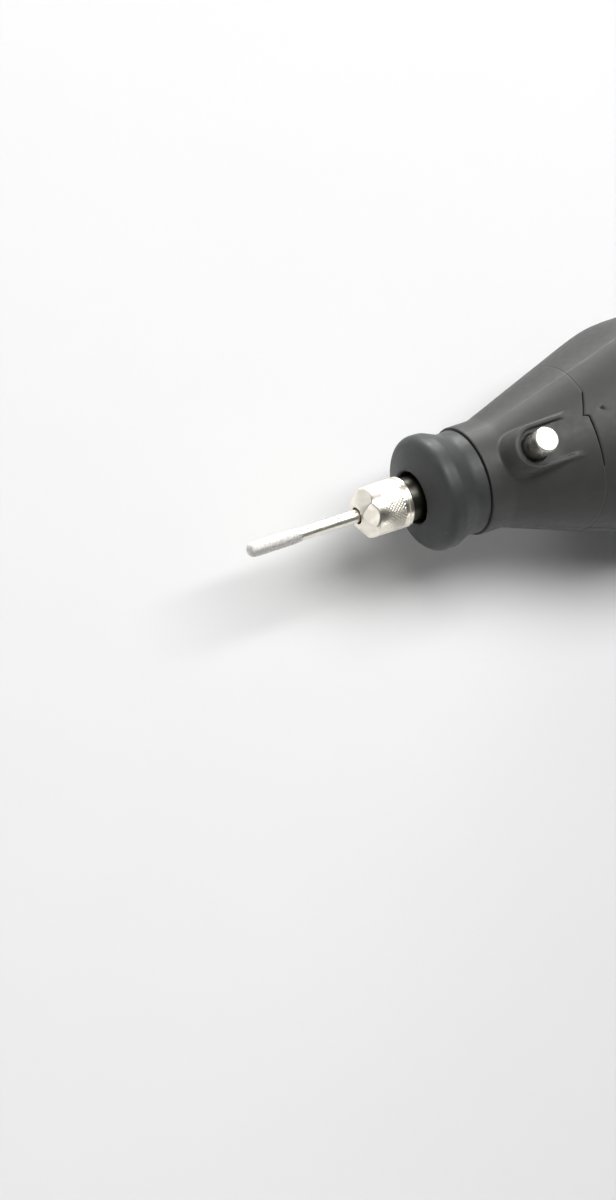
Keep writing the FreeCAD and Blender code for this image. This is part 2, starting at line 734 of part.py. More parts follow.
def dial_axle():
    return peg(1.0, -4.8, 6.6, DIAL_X, DIAL_Z)


def potentiometer():
    body = block(DIAL_X - 4.6, DIAL_X + 4.6, 3.1, 7.2, 6.6, 14.0)
    leg = block(DIAL_X - 3.3, DIAL_X - 2.7, 3.2, 3.7, BOARD_TOP, 6.6)
    legs = [leg.copy() for _ in range(3)]
    for i, copy in enumerate(legs):
        copy.translate(V(3.0 * i, 0, 0))
    return body.fuse(legs).cut(peg(1.05, 0, 9, DIAL_X, DIAL_Z))


def control_board():
    bottom = BOARD_TOP - BOARD_THICKNESS
    board = block(BOARD_FRONT, BOARD_REAR, -BOARD_HALF_WIDTH, BOARD_HALF_WIDTH, bottom, BOARD_TOP)
    return board.cut([post(1.1, bottom - 1, BOARD_TOP + 1, x, y) for x, y in board_posts()])


def board_parts():
    """Capacitor, power transistor on its heat sink, and a choke."""
    capacitor = bar(2.9, 112.5, 122.0, -2.5, BOARD_TOP + 2.9)
    transistor = block(123.4, 124.6, -7.6, 1.6, BOARD_TOP, BOARD_TOP + 6.5)
    choke = post(2.6, BOARD_TOP, BOARD_TOP + 5.0, 116.5, 4.0)
    return Part.makeCompound([capacitor, transistor, choke])


def board_screws():
    bottom = BOARD_TOP - BOARD_THICKNESS
    screws = []
    for x, y in board_posts():
        shank = post(0.9, bottom - 5.5, BOARD_TOP, x, y)
        screws.append(shank.fuse(post(1.7, BOARD_TOP, BOARD_TOP + 1.1, x, y)))
    return Part.makeCompound(screws)


# ---------------------------------------------------------------- rear

def rear_cap():
    """Domed end, held by its spigot between the two shells, with air inlets round the gland."""
    edge = skin_radius(SHELL_END)
    four_faced = Part.Face(section(SHELL_END, 0.0)).extrude(V(REAR_CAP_END - SHELL_END, 0, 0))
    dome = turned([
        (SHELL_END, 0, 0), (SHELL_END, edge * 1.052, 0), (SHELL_END + 2.5, edge * 1.04, 3.0),
        (REAR_CAP_END, 12.8, 3.0), (REAR_CAP_END, 0, 0),
    ]).common(four_faced)
    spigot = bar(edge - WALL - 0.1, 136.5, SHELL_END + 1)
    hollow = turned([
        (135.0, 0, 0), (135.0, edge - WALL - 1.9, 0), (144.0, edge - WALL - 1.9, 2.0),
        (148.6, 10.6, 1.5), (148.6, 0, 0),
    ])
    slot = block(140, REAR_CAP_END + 1, -0.9, 0.9, 7.6, 11.6)
    return dome.fuse(spigot).cut([hollow, bar(4.9, 140, 160)] + around(slot, 12))


def cord_gland():
    """Rubber bush that the mains lead passes through."""
    return turned([
        (GLAND_FRONT, GLAND_BORE_RADIUS, 0.3), (GLAND_FRONT, 6.0, 0.3), (148.6, 6.0, 0),
        (148.6, 4.9, 0), (REAR_CAP_END, 4.9, 0), (REAR_CAP_END, 6.2, 0.4), (152.6, 6.2, 0.4),
        (GLAND_REAR, 4.7, 0.5), (GLAND_REAR, GLAND_BORE_RADIUS, 0.3),
    ])


# ---------------------------------------------------------------- the whole tool

def pieces():
    blank = shell_blank()
    parts = {
        "burr_head": burr_head(),
        "burr_shank": burr_shank(),
        "collet": collet(),
        "collet_nut": collet_nut(),
        "spindle": spindle(),
        "nose_cap": nose_cap(),
        "front_housing": front_housing(),
        "front_retainer_ring": front_retainer_ring(),
        "bearing_retainer": bearing_retainer(),
        "retainer_screws": retainer_screws(),
        "lock_pin": lock_pin(),
        "lock_pin_spring": lock_pin_spring(),
        "lock_spring_seat": lock_spring_seat(),
        "drive_coupling": drive_coupling(),
        "cooling_fan": cooling_fan(),
        "motor_shaft": motor_shaft(),
        "motor_can": motor_can(),
        "motor_magnets": motor_magnets(),
        "armature_core": armature_core(),
        "armature_windings": armature_windings(),
        "commutator": commutator(),
        "motor_front_bearing": motor_bearing(CAN_FRONT + 0.6),
        "motor_rear_bearing": motor_bearing(100.4),
        "motor_end_bell": motor_end_bell(),
        "brush_holders": brush_holders(),
        "carbon_brushes": carbon_brushes(),
        "brush_springs": brush_springs(),
        "brush_caps": brush_caps(),
        "upper_shell": upper_shell(blank),
        "lower_shell": lower_shell(blank),
        "shell_screws": shell_screws(),
        "belly_pad": belly_pad(),
        "switch_body": switch_body(),
        "switch_button": switch_button(),
        "speed_dial": speed_dial(),
        "dial_axle": dial_axle(),
        "potentiometer": potentiometer(),
        "control_board": control_board(),
        "board_parts": board_parts(),
        "board_screws": board_screws(),
        "rear_cap": rear_cap(),
        "cord_gland": cord_gland(),
    }
    for name, x in (("front", FRONT_BEARING_X), ("rear", REAR_BEARING_X)):
        parts[name + "_bearing_inner_race"] = bearing_inner_race(x)
        parts[name + "_bearing_outer_race"] = bearing_outer_race(x)
        parts[name + "_bearing_balls"] = bearing_balls(x)
        parts[name + "_bearing_cage"] = bearing_cage(x)
        parts[name + "_bearing_shields"] = bearing_shields(x)
    return parts


os.makedirs("parts", exist_ok=True)
for node, shape in pieces().items():
    shape.translate(V(-ORIGIN_X, 0, AXIS_HEIGHT))
    shape.exportStep("parts/" + node + ".step")
    print(node, len(shape.Solids), "solids", round(shape.Volume, 1), "mm3", shape.isValid())
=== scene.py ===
"""Looks of the electric nail drill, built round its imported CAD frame.

Shapes are worked out in the spindle's own frame, in millimetres: x runs along the spindle from
the burr to the cord gland and is 0 at the seam behind the nose cap, z points up through the lock
pin, and angles go round the spindle from +z towards +y. place() sets them down in the CAD frame.
"""
import json
import math

import bmesh
import bpy
import numpy as np
from mathutils import Matrix, Vector


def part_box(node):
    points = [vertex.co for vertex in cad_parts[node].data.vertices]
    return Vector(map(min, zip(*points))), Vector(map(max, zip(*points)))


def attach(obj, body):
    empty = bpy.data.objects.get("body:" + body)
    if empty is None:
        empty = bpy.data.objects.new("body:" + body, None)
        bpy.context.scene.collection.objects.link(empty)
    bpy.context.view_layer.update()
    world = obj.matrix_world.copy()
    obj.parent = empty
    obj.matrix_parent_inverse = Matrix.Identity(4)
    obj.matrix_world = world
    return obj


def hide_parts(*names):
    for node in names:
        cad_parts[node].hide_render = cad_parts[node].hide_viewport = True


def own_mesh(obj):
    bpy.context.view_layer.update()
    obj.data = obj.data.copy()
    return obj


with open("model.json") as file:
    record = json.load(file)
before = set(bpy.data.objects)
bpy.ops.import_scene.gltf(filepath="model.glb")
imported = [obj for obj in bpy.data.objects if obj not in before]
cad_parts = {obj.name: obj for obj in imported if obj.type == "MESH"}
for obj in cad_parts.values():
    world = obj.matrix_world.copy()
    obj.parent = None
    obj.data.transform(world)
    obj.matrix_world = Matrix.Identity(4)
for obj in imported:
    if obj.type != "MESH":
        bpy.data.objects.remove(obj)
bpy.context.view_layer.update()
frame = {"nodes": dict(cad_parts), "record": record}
NODES = frame["nodes"]

MM = 0.001
CAP_GAP = 0.15                      # between nose cap and front housing
SEAM_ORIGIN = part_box("nose_cap")[1].x / MM + CAP_GAP
AXIS_HEIGHT = (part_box("motor_can")[0].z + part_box("motor_can")[1].z) / 2 / MM


def span(node):
    """Where a CAD node starts and ends along the spindle."""
    low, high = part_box(node)
    return low.x / MM - SEAM_ORIGIN, high.x / MM - SEAM_ORIGIN


def half_width(node):
    """Half of what a CAD node measures across the tool."""
    low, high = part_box(node)
    return (high.y - low.y) / 2 / MM


def top_of(node):
    """Height of a CAD node's top above the spindle's axis."""
    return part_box(node)[1].z / MM - AXIS_HEIGHT


# ------------------------------------------------------------------ sizes taken from the frame
BURR_TIP, BURR_NECK = span("burr_head")
SHANK_END = span("burr_shank")[1]
SHANK_RADIUS = half_width("burr_shank")
NUT_FRONT, NUT_REAR = span("collet_nut")
NUT_RADIUS = half_width("collet_nut")
CAP_FRONT, CAP_REAR = span("nose_cap")
CAP_RADIUS = half_width("nose_cap")
LOCK_X = sum(span("lock_pin")) / 2
LOCK_TOP = top_of("lock_pin")
LOCK_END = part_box("lock_pin")[0].z / MM - AXIS_HEIGHT
SHELL_END = span("upper_shell")[1]
BARREL_RADIUS = half_width("upper_shell")
REAR_END = span("rear_cap")[1]
GLAND_FRONT, GLAND_REAR = span("cord_gland")
FOOT_FRONT, FOOT_REAR = span("belly_pad")
FOOT_HALF_WIDTH = half_width("belly_pad")
FOOT_TOP = top_of("belly_pad")
BRUSH_X = sum(span("brush_caps")) / 2
SWITCH_FRONT, SWITCH_REAR = span("switch_button")
DIAL_X = sum(span("speed_dial")) / 2
DIAL_RADIUS = (span("speed_dial")[1] - span("speed_dial")[0]) / 2
DIAL_Z = top_of("speed_dial") - DIAL_RADIUS

# ------------------------------------------------------------------ shape of the housing's skin
NECK_RADIUS = 9.9
CONE_START = 5.0
CONE_SLOPE = 0.33
NECK_BLEND = 0.3
SHOULDER_X = 35.6
SHOULDER_BLEND = 0.45
TAIL_START = 60.0
TAIL_TAPER = 0.00021
FACE_BULGE = 0.22
CREASE = math.radians(1.0)          # half width of the soft crease between two faces
WALL = 2.2
SEAM_X = 20.3
SEAM_STEP_Y = 2.3
SEAM_STEP = 1.0
SEAM_SLANT_Y = 6.3
SEAM_GAP = 0.09                     # half the width of the shut line where it shows
SEAM_TIGHT = -0.04                  # the two sides just press together where it does not
SEAM_SHOWS = (math.radians(-27), math.radians(24))
PAD_HALF_WIDTH = 4.2
PAD_TOP = 13.25
PAD_FRONT = 4.85                    # at the rim's top
PAD_FOOT = 3.4                      # where the leaning front meets the neck
PAD_FLOOR = 12.4                    # flat floor inside the rim
PAD_LEAN = (PAD_FRONT - PAD_FOOT) / (PAD_TOP - NECK_RADIUS)
RIM_INNER_X = 9.36                  # centre of the rim's round inside
RIM_INNER_RADIUS = 3.4
LOCK_HOLE_RADIUS = 2.62
LOCK_GUIDE_RADIUS = 2.36            # the hole's close-fitting lower part
LOCK_GUIDE_TOP = 11.7
LOCK_BORE_RADIUS = 2.95             # room for the pin's flange under the pad
LOCK_BORE_TOP = 10.7


# ------------------------------------------------------------------ mesh helpers

def place(points):
    """Spindle-frame millimetres to CAD-frame metres."""
    return (np.asarray(points, float) + (SEAM_ORIGIN, 0.0, AXIS_HEIGHT)) * MM


def make_piece(name, points, faces, material, body, replaces=(), sharp=35.0):
    """A mesh object that rides a CAD body, its faces outward and shaded smooth up to an angle."""
    mesh = bpy.data.meshes.new(name)
    mesh.from_pydata(place(points).tolist(), [], [tuple(face) for face in faces])
    work = bmesh.new()
    work.from_mesh(mesh)
    bmesh.ops.remove_doubles(work, verts=work.verts, dist=2e-7)
    bmesh.ops.dissolve_degenerate(work, edges=work.edges, dist=1e-8)
    bmesh.ops.recalc_face_normals(work, faces=work.faces)
    work.to_mesh(mesh)
    work.free()
    mesh.shade_smooth()
    mesh.set_sharp_from_angle(angle=math.radians(sharp))
    mesh.materials.append(material)
    piece = bpy.data.objects.new(name, mesh)
    bpy.context.scene.collection.objects.link(piece)
    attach(piece, body)
    if replaces:
        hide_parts(*replaces)
    return piece


def rounded(points, arc_step=math.radians(6)):
    """Polyline through (x, r, corner radius) corners, with a fine arc at each corner."""
    line = []
    for i, (x, r, radius) in enumerate(points):
        here = np.array((x, r), float)
        if radius == 0:
            line.append(here)
            continue
        back = np.array(points[i - 1][:2]) - here
        ahead = np.array(points[(i + 1) % len(points)][:2]) - here
        back = back / np.linalg.norm(back)
        ahead = ahead / np.linalg.norm(ahead)
        half = math.acos(np.clip(back @ ahead, -1, 1)) / 2
        middle = (back + ahead) / np.linalg.norm(back + ahead)
        centre = here + middle * radius / math.sin(half)
        first = here + back * radius / math.tan(half) - centre
        last = here + ahead * radius / math.tan(half) - centre
        sweep = math.pi - 2 * half
        steps = max(3, int(sweep / arc_step) + 1)
        for t in np.linspace(0, 1, steps + 1):
            blend = math.sin((1 - t) * sweep) * first + math.sin(t * sweep) * last
            line.append(centre + blend / math.sin(sweep))
    return line


def spread(line, step, closed=False):
    """The same polyline with no run longer than step."""
    pairs = list(zip(line, line[1:]))
    if closed:
        pairs.append((line[-1], line[0]))
    out = []
    for start, end in pairs:
        count = max(1, int(math.ceil(np.linalg.norm(end - start) / step)))
        out += [start + (end - start) * i / count for i in range(count)]
    if not closed:
        out.append(line[-1])
    return np.array(out)


def lathe(name, points, material, body, replaces=(), around=128, step=1.0, closed=True,
          tune=None, axis="x", at=(0.0, 0.0, 0.0), sharp=35.0):
    """Turned piece from (along, radius, corner radius) points; tune may change the radius."""
    line = spread(rounded(points), step, closed)
    angle = np.arange(around) * 2 * math.pi / around
    along = np.repeat(line[:, :1], around, 1)
    r = np.repeat(line[:, 1:], around, 1)
    turn = np.repeat(angle[None, :], len(line), 0)
    if tune is not None:
        r = tune(along, r, turn)
    one, two = r * np.sin(turn), r * np.cos(turn)
    order = {"x": (along, one, two), "y": (two, along, one), "z": (two, one, along)}[axis]
    grid = np.stack(order, -1) + np.array(at)
    index = np.arange(along.size).reshape(along.shape)
    ahead = np.roll(index, -1, 0) if closed else index[1:]
    here = index if closed else index[:-1]
    faces = np.stack([here, ahead, np.roll(ahead, -1, 1), np.roll(here, -1, 1)], -1)
    return make_piece(name, grid.reshape(-1, 3), faces.reshape(-1, 4), material, body, replaces, sharp)


# ------------------------------------------------------------------ shapes from distance fields

FIELD_SHARP = 40.0                  # degrees beyond which an edge of such a shape isn't smoothed


def smooth_max(a, b, width):
    """The larger of two fields, with a fillet where they are close."""
    near = np.maximum(width - np.abs(a - b), 0.0) / width
    return np.maximum(a, b) + near * near * width / 4


def smooth_min(a, b, width):
    """The smaller of two fields, with a fillet where they are close."""
    return -smooth_max(-a, -b, width)


def skin_radius(x):
    """Distance from the axis to the middle of each of the housing's four faces."""
    cone = NECK_RADIUS + CONE_SLOPE * NECK_BLEND * np.logaddexp(0, (x - CONE_START) / NECK_BLEND)
    barrel = BARREL_RADIUS - TAIL_TAPER * np.maximum(0.0, x - TAIL_START) ** 2
    return barrel - SHOULDER_BLEND * np.logaddexp(0, (barrel - cone) / SHOULDER_BLEND)


def faced_radius(x, angle):
    """Distance from the axis to the skin: round at the neck, four soft faces at the shoulder."""
    radius = skin_radius(x)
    squareness = np.clip((x - CONE_START) / (SHOULDER_X - CONE_START), 0, 1)
    offset = FACE_BULGE * squareness * radius
    quarter = math.pi / 4
    off_face = np.abs((angle + quarter) % (2 * quarter) - quarter)
    off_face = quarter - np.sqrt((quarter - off_face) ** 2 + CREASE ** 2)
    face_radius = radius + offset
    return np.sqrt(face_radius ** 2 - (offset * np.sin(off_face)) ** 2) - offset * np.cos(off_face)


def skin_distance(p, inset=0.0):
    """Distance outside the housing's skin, or outside a skin inset from it."""
    x, y, z = p[..., 0], p[..., 1], p[..., 2]
    return np.hypot(y, z) - faced_radius(x, np.arctan2(y, z)) + inset


def post_distance(p, radius, x):
    """Distance outside a round post along z, over the spindle."""
    return np.hypot(p[..., 0] - x, p[..., 1]) - radius


def box_distance(p, low, high):
    """Distance outside a box between two corners."""
    middle = (np.array(low) + np.array(high)) / 2
    half = (np.array(high) - np.array(low)) / 2
    q = np.abs(p - middle) - half
    outside = np.linalg.norm(np.maximum(q, 0), axis=-1)
    return outside + np.minimum(q.max(-1), 0)


def pick(axis, chosen):
    """Index that takes a slice along one axis and everything along the other two."""
    return tuple(chosen if k == axis else slice(None) for k in range(3))


def edge_crossings(points, field, axis):
    """Which grid edges along one axis the zero surface crosses, which start inside, and where."""
    first, second = pick(axis, slice(None, -1)), pick(axis, slice(1, None))
    starts_inside = field[first] < 0
    cross = starts_inside != (field[second] < 0)
    share = np.where(cross, field[first] / np.where(cross, field[first] - field[second], 1), 0)
    spot = points[first] + share[..., None] * (points[second] - points[first])
    return cross, starts_inside, np.where(cross[..., None], spot, 0)


def quads_round(cross, starts_inside, axis, index, wrap):
    """A quad through the four cells round each crossed grid edge along one axis."""
    if wrap and axis != 1:
        cross, starts_inside = cross[:, :-1], starts_inside[:, :-1]
    spots = np.argwhere(cross)
    one, two = [k for k in range(3) if k != axis]
    corners = []
    for a, b in ((-1, -1), (0, -1), (0, 0), (-1, 0)):
        cell = spots.copy()
        cell[:, one] += a
        cell[:, two] += b
        if wrap:
            cell[:, 1] %= index.shape[1]
        corners.append(cell)
    corners = np.stack(corners)
    ok = ((corners >= 0) & (corners < index.shape)).all((0, 2))
    quads = index[tuple(corners[:, ok].transpose(2, 1, 0))]
    flip = starts_inside[tuple(spots[ok].T)]
    quads[flip] = quads[flip][:, ::-1]
    return quads


def surface_net(points, field, wrap):
    """Quads round the zero surface of a field sampled on a curved grid."""
    if wrap:
        points = np.concatenate([points, points[:, :1]], 1)
        field = np.concatenate([field, field[:, :1]], 1)
    shape = tuple(n - 1 for n in field.shape)
    total = np.zeros(shape + (3,))
    count = np.zeros(shape)
    crossings = []
    for axis in range(3):
        cross, starts_inside, spot = edge_crossings(points, field, axis)
        crossings.append((cross, starts_inside))
        one, two = [k for k in range(3) if k != axis]
        for a, b in ((0, 0), (0, 1), (1, 0), (1, 1)):
            cut = [slice(None)] * 3
            cut[one] = slice(a, shape[one] + a)
            cut[two] = slice(b, shape[two] + b)
            total += spot[tuple(cut)]
            count += cross[tuple(cut)]
    mixed = count > 0
    index = np.full(shape, -1)
    index[mixed] = np.arange(mixed.sum())
    vertices = total[mixed] / count[mixed][:, None]
    faces = [quads_round(*crossings[axis], axis, index, wrap) for axis in range(3)]
    return vertices, np.concatenate(faces)


def settle(vertices, field, rounds=4, limit=0.12):
    """Moves each vertex down the field's slope onto its zero surface."""
    nudge = 0.01
    for _ in range(rounds):
        value = field(vertices)
        slope = np.stack([
            (field(vertices + step) - field(vertices - step)) / (2 * nudge)
            for step in nudge * np.eye(3)
        ], -1)
        size = np.maximum((slope ** 2).sum(-1), 0.05)
        move = -(value / size)[:, None] * slope
        length = np.linalg.norm(move, axis=1, keepdims=True)
        vertices = vertices + move * np.minimum(1, limit / np.maximum(length, 1e-9))
    return vertices


def moulded(name, x, angle, depth, field, material, body, replaces, wrap=False, base=faced_radius):
    """Piece cut from a field on a grid that follows the skin: x and angle along it, depth across."""
    if x.ndim == 1:
        x = np.repeat(x[:, None], len(angle), 1)
    radius = base(x, angle[None, :])[:, :, None] + depth[None, None, :]
    radius = np.maximum(radius, 0.02)
    turn = angle[None, :, None]
    grid = np.stack([
        np.broadcast_to(x[:, :, None], radius.shape), radius * np.sin(turn), radius * np.cos(turn),
    ], -1)
    vertices, faces = surface_net(grid, field(grid), wrap)
    return make_piece(name, settle(vertices, field), faces, material, body, replaces, FIELD_SHARP)


def stations(*runs):
    """Positions along the spindle from (start, end, step) runs that follow on from each other."""
    out = []
    for start, end, step in runs:
        out.append(np.linspace(start, end, max(2, int(round((end - start) / step)) + 1))[:-1])
    out.append(np.array([runs[-1][1]]))
    return np.concatenate(out)


def carved(name, low, high, step, field, material, body, replaces):
    """Piece cut from a field on a plain box grid."""
    lines = [np.arange(low[k], high[k] + step[k], step[k]) for k in range(3)]
    grid = np.stack(np.meshgrid(*lines, indexing="ij"), -1)
    vertices, faces = surface_net(grid, field(grid), False)
    return make_piece(name, settle(vertices, field), faces, material, body, replaces, FIELD_SHARP)


# ------------------------------------------------------------------ materials

SLOTS = {row["node"]: row["material_slot"] for row in frame["record"]["subparts"]}


def blank(name, colour, roughness, metallic=0.0, **more):
    """A Principled material with uniform values set on its own sockets."""
    mat = bpy.data.materials.new(name)
    mat.use_nodes = True
    shader = mat.node_tree.nodes["Principled BSDF"]
    shader.inputs["Base Color"].default_value = (*colour, 1.0)
    shader.inputs["Roughness"].default_value = roughness
    shader.inputs["Metallic"].default_value = metallic
    for socket, value in more.items():
        shader.inputs[socket.replace("_", " ")].default_value = value
    return mat


def noise(mat, per_mm, detail=3.0, stretch=(1.0, 1.0, 1.0), rough=0.55):
    """Noise that varies the given number of times per millimetre, in the piece's own frame."""
    nodes, links = mat.node_tree.nodes, mat.node_tree.links
    mapping = nodes.new("ShaderNodeMapping")
    mapping.inputs["Scale"].default_value = [per_mm / MM * k for k in stretch]
    texture = nodes.new("ShaderNodeTexNoise")
    texture.inputs["Scale"].default_value = 1.0
    texture.inputs["Detail"].default_value = detail
    texture.inputs["Roughness"].default_value = rough
    links.new(nodes.new("ShaderNodeTexCoord").outputs["Object"], mapping.inputs["Vector"])
    links.new(mapping.outputs["Vector"], texture.inputs["Vector"])
    return texture.outputs["Fac"]


def cells(mat, per_mm, randomness=1.0):
    """Grains, the given number to the millimetre: distance from the middle of each, and its colour."""
    nodes, links = mat.node_tree.nodes, mat.node_tree.links
    texture = nodes.new("ShaderNodeTexVoronoi")
    texture.inputs["Scale"].default_value = per_mm / MM
    texture.inputs["Randomness"].default_value = randomness
    links.new(nodes.new("ShaderNodeTexCoord").outputs["Object"], texture.inputs["Vector"])
    return texture.outputs["Distance"], texture.outputs["Color"]


WAVE_BANDS = 3.1831                 # bands in one unit of the wave texture at scale 1


def bands(mat, per_mm, direction, distortion):
    """Bands of the given number per millimetre."""
    nodes, links = mat.node_tree.nodes, mat.node_tree.links
    texture = nodes.new("ShaderNodeTexWave")
    texture.bands_direction = direction
    texture.inputs["Scale"].default_value = per_mm / MM / WAVE_BANDS
    texture.inputs["Distortion"].default_value = distortion
    links.new(nodes.new("ShaderNodeTexCoord").outputs["Object"], texture.inputs["Vector"])
    return texture.outputs["Fac"]


def edges(mat, low=0.52, high=0.6):
    """1 on worn convex edges, 0 elsewhere."""
    nodes, links = mat.node_tree.nodes, mat.node_tree.links
    ramp = nodes.new("ShaderNodeMapRange")
    ramp.inputs["From Min"].default_value = low
    ramp.inputs["From Max"].default_value = high
    links.new(nodes.new("ShaderNodeNewGeometry").outputs["Pointiness"], ramp.inputs["Value"])
    return ramp.outputs["Result"]


def drive(mat, socket, factor, low, high, start=0.3, end=0.7):
    """Runs a number or a colour of the shader between two values by a factor."""
    nodes, links = mat.node_tree.nodes, mat.node_tree.links
    shader = nodes["Principled BSDF"]
    if isinstance(low, tuple):
        ramp = nodes.new("ShaderNodeValToRGB")
        ramp.color_ramp.elements[0].position = start
        ramp.color_ramp.elements[1].position = end
        ramp.color_ramp.elements[0].color = (*low, 1.0)
        ramp.color_ramp.elements[1].color = (*high, 1.0)
        links.new(factor, ramp.inputs["Fac"])
        links.new(ramp.outputs["Color"], shader.inputs[socket])
        return ramp.outputs["Color"]
    scale = nodes.new("ShaderNodeMapRange")
    scale.inputs["From Min"].default_value = start
    scale.inputs["From Max"].default_value = end
    scale.inputs["To Min"].default_value = low
    scale.inputs["To Max"].default_value = high
    links.new(factor, scale.inputs["Value"])
    links.new(scale.outputs["Result"], shader.inputs[socket])
    return scale.outputs["Result"]


def overlay(mat, colour_output, factor, colour, strength):
    """Lays a second colour over the shader's base colour by a factor."""
    nodes, links = mat.node_tree.nodes, mat.node_tree.links
    weight = nodes.new("ShaderNodeMath")
    weight.operation = "MULTIPLY"
    weight.inputs[1].default_value = strength
    links.new(factor, weight.inputs[0])
    mix = nodes.new("ShaderNodeMix")
    mix.data_type = "RGBA"
    mix.inputs["B"].default_value = (*colour, 1.0)
    links.new(weight.outputs["Value"], mix.inputs["Factor"])
    links.new(colour_output, mix.inputs["A"])
    links.new(mix.outputs["Result"], nodes["Principled BSDF"].inputs["Base Color"])


def relief(mat, *layers):
    """Bump from (height, depth in mm, strength) layers, one over the other."""
    nodes, links = mat.node_tree.nodes, mat.node_tree.links
    before = None
    for height, depth, strength in layers:
        bump = nodes.new("ShaderNodeBump")
        bump.inputs["Distance"].default_value = depth * MM
        bump.inputs["Strength"].default_value = strength
        links.new(height, bump.inputs["Height"])
        if before is not None:
            links.new(before.outputs["Normal"], bump.inputs["Normal"])
        before = bump
    links.new(before.outputs["Normal"], nodes["Principled BSDF"].inputs["Normal"])


def shade(colour, factor):
    """A darker or lighter version of a colour."""
    return tuple(c * factor for c in colour)


def moulded_plastic(name, colour, roughness, spark=0.012):
    """Moulded plastic: fine spark-eroded texture, faint flow marks, edges rubbed lighter."""
    mat = blank(name, colour, roughness, Specular_IOR_Level=0.38)
    spots = noise(mat, 0.35, 4.0)
    base = drive(mat, "Base Color", spots, shade(colour, 0.93), shade(colour, 1.07))
    overlay(mat, base, edges(mat), shade(colour, 1.9), 0.45)
    drive(mat, "Roughness", noise(mat, 0.9, 5.0), roughness - 0.05, roughness + 0.07)
    relief(mat, (noise(mat, 5.5, 3.0), spark, 0.55), (noise(mat, 0.12, 2.0), 0.05, 0.12))
    return mat


def turned_metal(name, colour, roughness, lines=0.25):
    """Turned or ground metal: fine rings round the spindle, faint smears, bright edges."""
    mat = blank(name, colour, roughness, 1.0)
    smears = noise(mat, 0.5, 4.0)
    base = drive(mat, "Base Color", smears, shade(colour, 0.9), shade(colour, 1.05))
    overlay(mat, base, edges(mat), (0.95, 0.94, 0.92), 0.4)
    drive(mat, "Roughness", noise(mat, 0.8, 6.0), roughness - 0.05, roughness + 0.08)
    rings = noise(mat, 1.0, 2.0, stretch=(14.0, 0.15, 0.15))
    relief(mat, (rings, 0.01, lines))
    return mat


def soft_rubber(name, colour):
    """Matt rubber with a trace of dust."""
    mat = blank(name, colour, 0.72, Sheen_Weight=0.25, Sheen_Roughness=0.5)
    dust = noise(mat, 0.6, 5.0)
    drive(mat, "Base Color", dust, shade(colour, 0.85), shade(colour, 1.5), 0.4, 0.8)
    drive(mat, "Roughness", noise(mat, 1.4, 3.0), 0.64, 0.82)
    relief(mat, (noise(mat, 3.0, 4.0), 0.02, 0.5))
    return mat


def diamond_grit(name):
    """Nickel-bonded grit: bright facets in a grey bond."""
    mat = blank(name, (0.72, 0.70, 0.66), 0.38, 0.9)
    distance, colour = cells(mat, 11.0)
    drive(mat, "Base Color", colour, (0.50, 0.48, 0.45), (0.92, 0.91, 0.88), 0.2, 0.8)
    drive(mat, "Roughness", distance, 0.25, 0.55, 0.0, 0.5)
    relief(mat, (distance, 0.05, 0.8), (noise(mat, 6.0, 3.0), 0.03, 0.5))
    return mat


def copper_winding(name):
    """Lacquered copper wires lying side by side."""
    colour = (0.62, 0.22, 0.09)
    mat = blank(name, colour, 0.28, 0.85, Coat_Weight=0.6)
    wires = bands(mat, 2.4, "DIAGONAL", 1.5)
    drive(mat, "Base Color", wires, shade(colour, 0.45), shade(colour, 1.25), 0.2, 0.8)
    drive(mat, "Roughness", noise(mat, 1.0, 3.0), 0.22, 0.4)
    relief(mat, (wires, 0.15, 0.9))
    return mat


def laminated_steel(name):
    """Stack of thin steel sheets."""
    colour = (0.32, 0.32, 0.34)
    mat = blank(name, colour, 0.42, 0.9)
    sheets = bands(mat, 2.0, "X", 0.2)
    drive(mat, "Base Color", sheets, shade(colour, 0.5), shade(colour, 1.2), 0.2, 0.8)
    drive(mat, "Roughness", noise(mat, 1.0, 4.0), 0.36, 0.55)
    relief(mat, (sheets, 0.08, 0.8))
    return mat


def circuit_board(name):
    """Green solder mask over copper tracks."""
    colour = (0.015, 0.13, 0.05)
    mat = blank(name, colour, 0.3, 0.0, Coat_Weight=0.5)
    _, tracks = cells(mat, 0.55, 0.2)
    drive(mat, "Base Color", tracks, shade(colour, 0.75), shade(colour, 1.5), 0.45, 0.55)
    drive(mat, "Roughness", noise(mat, 1.2, 3.0), 0.25, 0.42)
    relief(mat, (tracks, 0.04, 0.5), (noise(mat, 4.0, 2.0), 0.01, 0.3))
    return mat


